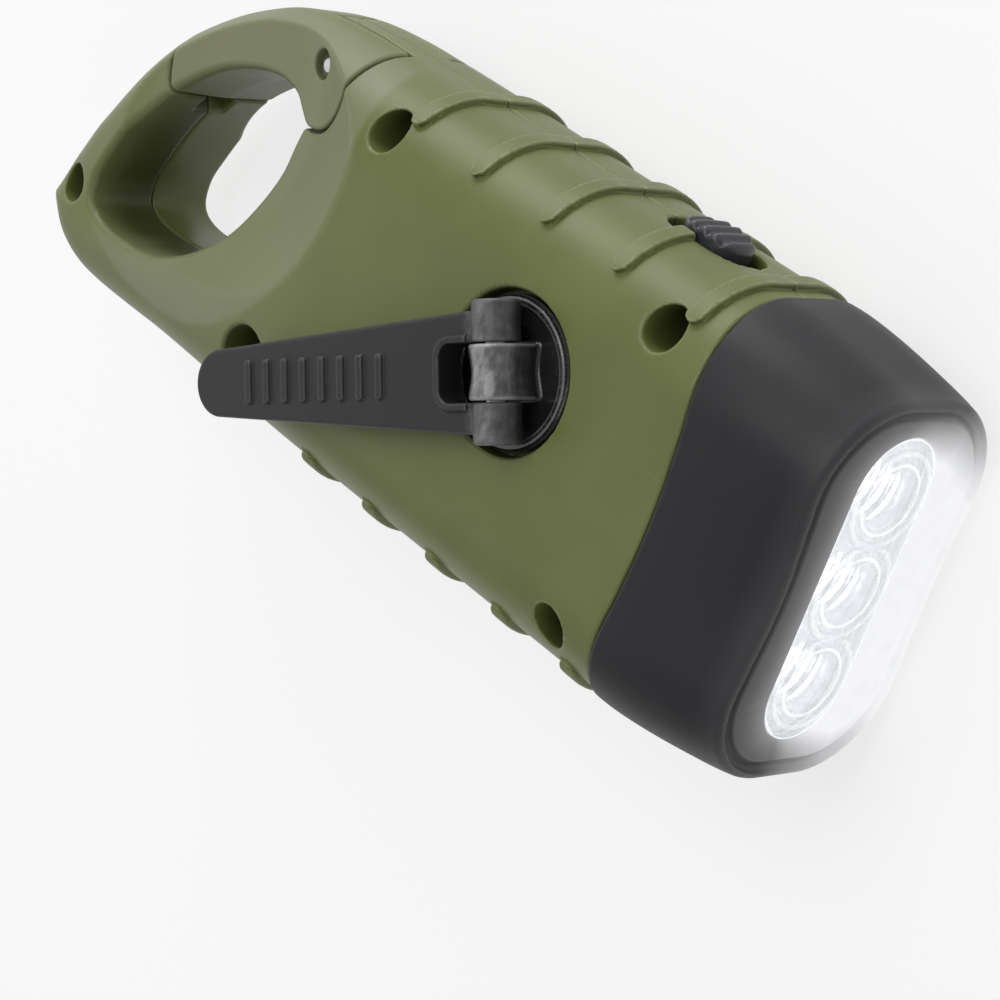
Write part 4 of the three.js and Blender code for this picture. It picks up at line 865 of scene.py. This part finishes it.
class Finish:
    """A material that is built node by node."""

    def __init__(self, name, **shader):
        self.material = bpy.data.materials.new(name)
        self.material.use_nodes = True
        self.tree = self.material.node_tree
        self.tree.nodes.clear()
        self.out = self.add("ShaderNodeOutputMaterial")
        constants = {key.replace("_", " "): value for key, value in shader.items()}
        self.shader = self.add("ShaderNodeBsdfPrincipled", {}, constants)
        self.tree.links.new(self.shader.outputs[0], self.out.inputs[0])

    def add(self, kind, settings=None, sockets=None):
        node = self.tree.nodes.new(kind)
        for key, value in (settings or {}).items():
            setattr(node, key, value)
        pairs = enumerate(sockets) if isinstance(sockets, list) else (sockets or {}).items()
        for key, value in pairs:
            if isinstance(value, Value):
                self.tree.links.new(value.socket, node.inputs[key])
            else:
                node.inputs[key].default_value = value
        return node

    def set(self, **sockets):
        for key, value in sockets.items():
            self.tree.links.new(value.socket, self.shader.inputs[key.replace("_", " ")])

    def place(self, scale=(1, 1, 1), turn=0.0):
        """Object coordinates in millimetres, scaled."""
        coords = Value(self, self.add("ShaderNodeTexCoord").outputs["Object"])
        per_mm = tuple(PER_METRE * share for share in scale)
        sockets = {"Vector": coords, "Scale": per_mm, "Rotation": (0, 0, turn)}
        node = self.add("ShaderNodeMapping", {}, sockets)
        return Value(self, node.outputs["Vector"])

    def noise(self, size, detail=3.0, rough=0.5, scale=(1, 1, 1), turn=0.0):
        """Noise whose lumps are about size millimetres."""
        node = self.add(
            "ShaderNodeTexNoise", {},
            {"Vector": self.place(scale, turn), "Scale": 1 / size, "Detail": detail, "Roughness": rough},
        )
        return Value(self, node.outputs["Fac"])

    def attribute(self, name):
        return Value(self, self.add("ShaderNodeAttribute", {"attribute_name": name}).outputs["Fac"])

    def mix(self, amount, first, second):
        """A colour between two."""
        node = self.add("ShaderNodeMix", {"data_type": "RGBA"})
        for socket, value in zip((node.inputs[0], node.inputs[6], node.inputs[7]), (amount, first, second)):
            if isinstance(value, Value):
                self.tree.links.new(value.socket, socket)
            else:
                socket.default_value = value if isinstance(value, float) else (*value, 1)
        return Value(self, node.outputs[2])

    def bump(self, height, depth):
        node = self.add("ShaderNodeBump", {}, {"Height": height, "Distance": depth * MM, "Strength": 1.0})
        return Value(self, node.outputs[0])


def worn_streaks(made):
    """Streaks along the hinge's barrels."""
    return made.noise(0.9, 4.0, 0.6, (1, 0.45, 1), CRANK_ANGLE).between(0.3, 0.75)


def moulded(name, colour, light, rough, grain=0.3, sheen=None, shade=None):
    """Satin moulded plastic: fine grain, slow cloudy tone, paler edges that are partly edge wear and partly a
    painted highlight, painted shade in corners and creases; on the housing, a painted sheen on the dish and
    painted shade in recesses.
    """
    made = Finish(name, IOR=1.42, Coat_Weight=0.08, Coat_Roughness=0.3)
    cloud = made.noise(9.0, 4.0)
    fine = made.noise(grain, 2.0)
    edge = made.attribute("edge")
    low = tuple(c * 0.9 for c in colour)
    high = tuple(c * 1.1 for c in colour)
    tone = made.mix(cloud.between(0.3, 0.7) * 0.5 + fine * 0.25, low, high)
    # Painted shade in corners and creases
    tone = made.mix((edge * -1.0).between(0.15, 0.9) * 0.45, tone, tuple(c * 0.35 for c in colour))
    # Paler edges: partly edge wear, partly a painted highlight
    tone = made.mix(edge.between(0.12, 0.9) * (0.35 + fine * 0.5) * 0.5, tone, light)
    roughness = rough + (cloud - 0.5) * 0.12 + (fine - 0.5) * 0.1
    if shade:
        # Painted sheen on the clip's dish
        tone = made.mix(made.attribute("dish") * 0.6, tone, (0.2, 0.21, 0.125))
        # Painted shade in the housing's recesses
        tone = made.mix(made.attribute(shade), tone, (0.018, 0.026, 0.004))
    if sheen:
        rubbed_and_highlit = made.attribute(sheen)
        streaks = worn_streaks(made)
        # Rubbed wear with a painted highlight along the hinge's top
        tone = made.mix(rubbed_and_highlit * (0.35 + streaks * 0.65), tone, (0.2, 0.2, 0.205))
        roughness = roughness - rubbed_and_highlit * 0.22 + rubbed_and_highlit * streaks * 0.1
    made.set(Base_Color=tone, Roughness=roughness, Normal=made.bump(fine, 0.012))
    return made


def rim_with_painted_glow(made):
    """Painted glow over the head's rim."""
    glow = made.attribute("glow")
    fine = made.noise(2.0, 2.0)
    made.set(Emission_Color=made.mix(glow * (0.92 + fine * 0.16), (0.0, 0.0, 0.0), (0.96, 0.965, 0.98)))
    made.shader.inputs["Emission Strength"].default_value = 0.9
    return made


def glossy_black(name):
    """Polished black with fine rubbed streaks, paler edges that are partly wear and partly a painted
    highlight, and rubbed wear with a painted highlight along the hinge's top.
    """
    made = Finish(name, IOR=1.5, Coat_Weight=0.3, Coat_Roughness=0.08)
    streaks = made.noise(2.2, 4.0, 0.6, (0.35, 1, 1), CRANK_ANGLE)
    fine = made.noise(0.35, 3.0)
    edge = made.attribute("edge").between(0.1, 0.8)
    rubbed = streaks.between(0.52, 0.72)
    wear_and_highlight = made.attribute("rub_and_highlight") * (0.35 + worn_streaks(made) * 0.65)
    # Paler edges and hinge top: wear and painted highlight
    made.set(Base_Color=made.mix(edge * 0.35 + wear_and_highlight * 0.9, (0.009, 0.009, 0.0095), (0.38, 0.38, 0.39)))
    made.set(Roughness=0.17 + rubbed * 0.22 + fine * 0.08)
    made.set(Normal=made.bump(fine, 0.01))
    return made


def turned_steel(name, colour, rough=0.28):
    """Plain metal with turning marks and a few stains."""
    made = Finish(name, Metallic=1.0)
    marks = made.noise(0.25, 3.0, 0.6, (1, 1, 0.15))
    stain = made.noise(2.4, 4.0)
    made.set(Base_Color=made.mix(stain.between(0.45, 0.75) * 0.35, colour, tuple(c * 0.6 for c in colour)))
    made.set(Roughness=rough - 0.06 + marks * 0.16 + stain * 0.08)
    made.set(Normal=made.bump(marks, 0.008))
    return made


def lamp_light(name):
    """Clear lamp plastic that shines, brightest at its tip."""
    made = Finish(name, Base_Color=(0.9, 0.92, 0.95, 1), Roughness=0.1, Emission_Strength=1.0)
    spots = made.noise(0.7, 2.0)
    made.set(Emission_Color=made.mix(spots.between(0.35, 0.6) * 0.4, (1.0, 1.0, 1.0), (0.82, 0.86, 0.9)))
    made.set(Normal=made.bump(spots, 0.05))
    return made


def clear_cover(name):
    """Clear moulded window with a painted glow: its lens rings stay bright, with painted highlights on edges
    and painted shade in creases.
    """
    made = Finish(name, Base_Color=(0.93, 0.95, 0.97, 1), Roughness=0.06, IOR=1.49, Emission_Strength=0.42)
    fine = made.noise(1.1, 2.0)
    edge = made.attribute("edge").between(0.2, 0.8)
    crease = (made.attribute("edge") * -1.0).between(0.2, 0.8)
    made.set(Alpha=0.35 + edge * 0.5 + crease * 0.5)
    # Painted glow: brighter on edges, darker in creases
    lit = edge * 0.8 + fine * 0.3 - crease * 0.8
    made.set(Emission_Color=made.mix(lit, (0.2, 0.202, 0.21), (0.93, 0.935, 0.95)))
    made.set(Normal=made.bump(fine, 0.03))
    return made


def plating_with_painted_glow(name):
    """Bright plating on the lamp cups, with a painted glow."""
    made = Finish(name, Metallic=1.0, Emission_Strength=0.25)
    cloud = made.noise(1.5, 3.0)
    made.set(Base_Color=made.mix(cloud.between(0.3, 0.7), (0.86, 0.87, 0.89), (0.72, 0.73, 0.75)))
    made.set(Roughness=0.09 + cloud * 0.12)
    # Painted glow
    made.set(Emission_Color=made.mix(cloud.between(0.35, 0.7), (0.93, 0.94, 0.96), (0.62, 0.63, 0.65)))
    return made


def solar_face(name):
    """Red-brown cell with thin pale lines across it and a resin gloss."""
    made = Finish(name, IOR=1.52, Coat_Weight=0.6, Coat_Roughness=0.06)
    coords = Value(made, made.add("ShaderNodeTexCoord").outputs["Object"])
    parts = made.add("ShaderNodeSeparateXYZ", {}, {"Vector": coords})
    along = Value(made, parts.outputs["X"]) * PER_METRE
    wave = ((along + 0.9) * (1 / 4.35)).maths("FRACT")
    line = 1 - (wave - 0.5).maths("ABSOLUTE").between(0.02, 0.045)
    twin = 1 - (wave - 0.6).maths("ABSOLUTE").between(0.012, 0.03)
    cloud = made.noise(3.0, 4.0)
    lean = (along * -1.0).between(-45.0, 0.0)
    body = made.mix(lean, (0.20, 0.036, 0.030), (0.27, 0.055, 0.022))
    body = made.mix(cloud * 0.4, body, (0.15, 0.03, 0.03))
    made.set(Base_Color=made.mix(line * 0.5 + twin * 0.25, body, (0.42, 0.25, 0.2)))
    made.set(Roughness=0.16 + cloud * 0.1 + line * 0.1)
    return made


def board_green(name):
    """Green board lacquer over fine copper tracks."""
    made = Finish(name, Coat_Weight=0.3)
    tracks = made.noise(1.2, 1.0, 0.4, (1, 0.3, 1))
    cloud = made.noise(3.0, 3.0)
    made.set(Base_Color=made.mix(tracks.between(0.48, 0.52) * 0.6, (0.02, 0.11, 0.04), (0.04, 0.2, 0.08)))
    made.set(Roughness=0.35 + cloud * 0.15)
    return made


def wound_wire(name):
    """Enamelled copper wire in close turns."""
    made = Finish(name, Metallic=0.85)
    turns = made.noise(0.5, 1.0, 0.3, (0.05, 0.05, 2))
    made.set(Base_Color=made.mix(turns.between(0.35, 0.65), (0.28, 0.07, 0.02), (0.5, 0.15, 0.05)))
    made.set(Roughness=0.25 + turns * 0.2)
    made.set(Normal=made.bump(turns, 0.08))
    return made


olive = moulded("olive_housing", (0.122, 0.143, 0.038), (0.36, 0.39, 0.23), 0.46, shade="shade")
gate_olive = moulded("olive_gate", (0.126, 0.143, 0.042), (0.36, 0.39, 0.23), 0.46, shade="shade")
head_black = rim_with_painted_glow(moulded("charcoal_head", (0.0105, 0.011, 0.0135), (0.10, 0.10, 0.105), 0.58, 0.25))
arm_black = moulded("charcoal_arm", (0.0115, 0.0118, 0.0135), (0.15, 0.15, 0.15), 0.52, 0.22, sheen="rub_and_highlight")
frame_black = moulded("charcoal_frame", (0.032, 0.034, 0.039), (0.12, 0.12, 0.13), 0.42, 0.35)
button_black = moulded("dark_button", (0.030, 0.031, 0.036), (0.15, 0.15, 0.16), 0.36, 0.2)
inner_black = moulded("switch_case", (0.03, 0.03, 0.032), (0.1, 0.1, 0.1), 0.5)
hub_black = glossy_black("polished_hub")
rivet_steel = turned_steel("rivet_steel", (0.58, 0.58, 0.6), 0.3)
screw_steel = turned_steel("screw_steel", (0.30, 0.31, 0.33))
gear_nylon = moulded("nylon_gears", (0.77, 0.75, 0.7), (0.85, 0.84, 0.8), 0.45, 0.4)
cell_steel = turned_steel("cell_case", (0.55, 0.53, 0.48), 0.3)
lamp_white = lamp_light("lit_lamps")
cover_clear = clear_cover("clear_window")
cup_chrome = plating_with_painted_glow("plated_cups")
cell_red = solar_face("solar_cell_face")
board_lacquer = board_green("green_board")
coil_wire = wound_wire("coil_wire")

# Pieces
TAIL = -138.6
FINE = 0.35
SHELL_STEP = 0.5

piece("upper_housing", crank_half, (TAIL, -25.9, -0.4), (-11.4, 25.9, 15.9), SHELL_STEP, olive, "housing",
      ["crank_side_shell"], 0.42, {"shade": shaded(6.0, 0.72), "dish": dish_painted_sheen})
piece("lower_housing", solar_half, (TAIL, -25.9, -15.9), (-11.4, 25.9, 0.4), SHELL_STEP, olive, "housing",
      ["solar_side_shell"], 0.42, {"shade": shaded(9.0, 0.15), "dish": dish_painted_sheen})
piece("clip_gate", clip_gate, (-125.0, 3.0, -13.5), (-83.5, 25.2, 13.5), FINE, gate_olive, "gate",
      ["gate"], 0.45, {"shade": shaded(9.0, 0.4), "dish": dish_painted_sheen})
piece("gate_rivet", gate_rivet, (PIN[0] - 1.6, PIN[1] - 1.6, -8.6), (PIN[0] + 1.6, PIN[1] + 1.6, 8.6), 0.18,
      rivet_steel, "housing", ["gate_pin"], 0.6)
piece("lens_bezel", lens_bezel, (-20.8, -25.6, -16.4), (0.5, 25.6, 16.4), FINE, head_black, "housing",
      ["head_bezel"], 0.6, {"glow": painted_rim_glow})
piece("lens_cover", lens_cover, (-4.2, -20.2, -9.2), (-0.5, 20.2, 9.2), 0.22, cover_clear, "housing",
      ["lens_window"], 0.4)
piece("reflector_cups", reflector_cups, (-10.2, -23.4, -14.0), (-3.2, 23.4, 14.0), 0.32, cup_chrome,
      "housing", ["reflector"], 0.4)
for number, lamp_y in enumerate(LAMP_ROW):
    low, high = (-10.1, lamp_y - 3.2, -3.2), (-4.6, lamp_y + 3.2, 3.2)
    piece(f"lamp_dome_{number + 1}", lamp_dome(lamp_y), low, high, 0.25, lamp_white, "housing",
          [f"lamp_{number + 1}"])
piece("folding_arm", folding_arm, (-90.0, -26.0, 14.9), (-34.0, 13.5, 21.1), FINE * 0.8, arm_black, "arm",
      ["crank_arm"], 0.42, {"rub_and_highlight": hinge_wear_and_highlight})
piece("hub_and_knuckle", hub_and_knuckle, (-52.2, -5.2, -4.6), (-33.8, 13.2, 21.5), FINE * 0.8, hub_black,
      "crank", ["crank_hub"], 0.45, {"rub_and_highlight": hinge_wear_and_highlight})
piece("slide_button", slide_button, (-39.4, 19.6, -4.7), (-29.6, 26.3, 4.7), 0.2, button_black, "switch",
      ["switch_button"], 0.45)
piece("panel_frame", panel_frame, (-77.5, -16.7, -16.1), (-24.0, 16.7, -12.9), 0.32, frame_black, "housing",
      ["solar_frame"], 0.4)
for number, place in enumerate(SCREWS):
    low = (place[0] - 2.7, place[1] - 2.7, -6.3)
    high = (place[0] + 2.7, place[1] + 2.7, 5.6)
    piece(f"cross_screw_{number + 1}", cross_screw(place), low, high, 0.25, screw_steel, "housing",
          [f"housing_screw_{number + 1}"])

CARRIED = {
    "solar_cell": cell_red, "switch_body": inner_black, "gate_spring": rivet_steel, "hinge_pin": rivet_steel,
    "lamp_board": board_lacquer, "circuit_board": board_lacquer, "drive_gear": gear_nylon,
    "first_idler": gear_nylon, "second_idler": gear_nylon, "idler_axle_1": screw_steel,
    "idler_axle_2": screw_steel, "gear_plate": screw_steel, "dynamo_rotor": cell_steel,
    "dynamo_core": screw_steel, "dynamo_coil": coil_wire, "battery_cell_1": cell_steel,
    "battery_cell_2": cell_steel, "battery_cell_3": cell_steel,
}
for node_name, finish in CARRIED.items():
    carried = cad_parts[node_name]
    carried.data.materials.clear()
    carried.data.materials.append(finish.material)

# Floor, light and camera
floor_mesh = bpy.data.meshes.new("studio_floor")
floor_mesh.from_pydata([(-6, -6, 0), (6, -6, 0), (6, 6, 0), (-6, 6, 0)], [], [(0, 1, 2, 3)])
floor = bpy.data.objects.new("studio_floor", floor_mesh)
bpy.context.collection.objects.link(floor)
WHITE_SHARE = 0.7  # how much of the floor's white doesn't depend on the lamps; the rest shows the shadow
paper = Finish("floor_paper", Base_Color=(0.9, 0.9, 0.9, 1), Roughness=0.9)
seen = paper.add("ShaderNodeLightPath")
shown = sum(Value(paper, seen.outputs[f"Is {kind} Ray"]) for kind in ("Camera", "Glossy", "Transmission"))
white = paper.add("ShaderNodeEmission", {}, {"Strength": 1.0})
blend = paper.add("ShaderNodeMixShader", {}, {0: shown * WHITE_SHARE})
paper.tree.links.new(paper.shader.outputs[0], blend.inputs[1])
paper.tree.links.new(white.outputs[0], blend.inputs[2])
paper.tree.links.new(blend.outputs[0], paper.out.inputs[0])
floor_mesh.materials.append(paper.material)

world = bpy.data.worlds.new("studio")
bpy.context.scene.world = world
world.use_nodes = True
sky = world.node_tree.nodes["Background"]
sky.inputs["Color"].default_value = (1, 1, 1, 1)
sky.inputs["Strength"].default_value = 0.4


def soft_lamp(name, place, size, power):
    """A square studio lamp that faces the flashlight."""
    data = bpy.data.lights.new(name, "AREA")
    data.shape = "SQUARE"
    data.size = size
    data.energy = power
    lamp = bpy.data.objects.new(name, data)
    bpy.context.collection.objects.link(lamp)
    lamp.location = place
    aim = Vector((0, 0, 0.02)) - Vector(place)
    lamp.rotation_euler = aim.to_track_quat("-Z", "Y").to_euler()


soft_lamp("top_lamp", (0.0, 0.3, 0.7), 0.5, 2.3)
soft_lamp("clip_lamp", (-0.38, -0.18, 0.26), 0.35, 0.35)
soft_lamp("front_lamp", (0.7, -0.15, 0.35), 0.5, 0.9)
soft_lamp("edge_lamp", (-0.45, 0.65, 0.14), 0.45, 3.6)

camera_data = bpy.data.cameras.new("photo_camera")
camera_data.lens = 105.31
camera_data.sensor_width = 36
camera_data.clip_start = 0.01
camera = bpy.data.objects.new("photo_camera", camera_data)
bpy.context.collection.objects.link(camera)
right = Vector((0.6281, 0.3296, -0.7049)).normalized()
back = right.cross(Vector((-0.4861, 0.8735, -0.0247))).normalized()
up = back.cross(right)
turned = Matrix((right, up, back)).transposed().to_4x4()
camera.matrix_world = Matrix.Translation((0.22578, 0.10573, 0.2577)) @ turned
bpy.context.scene.camera = camera
bpy.context.scene.view_settings.view_transform = "Standard"
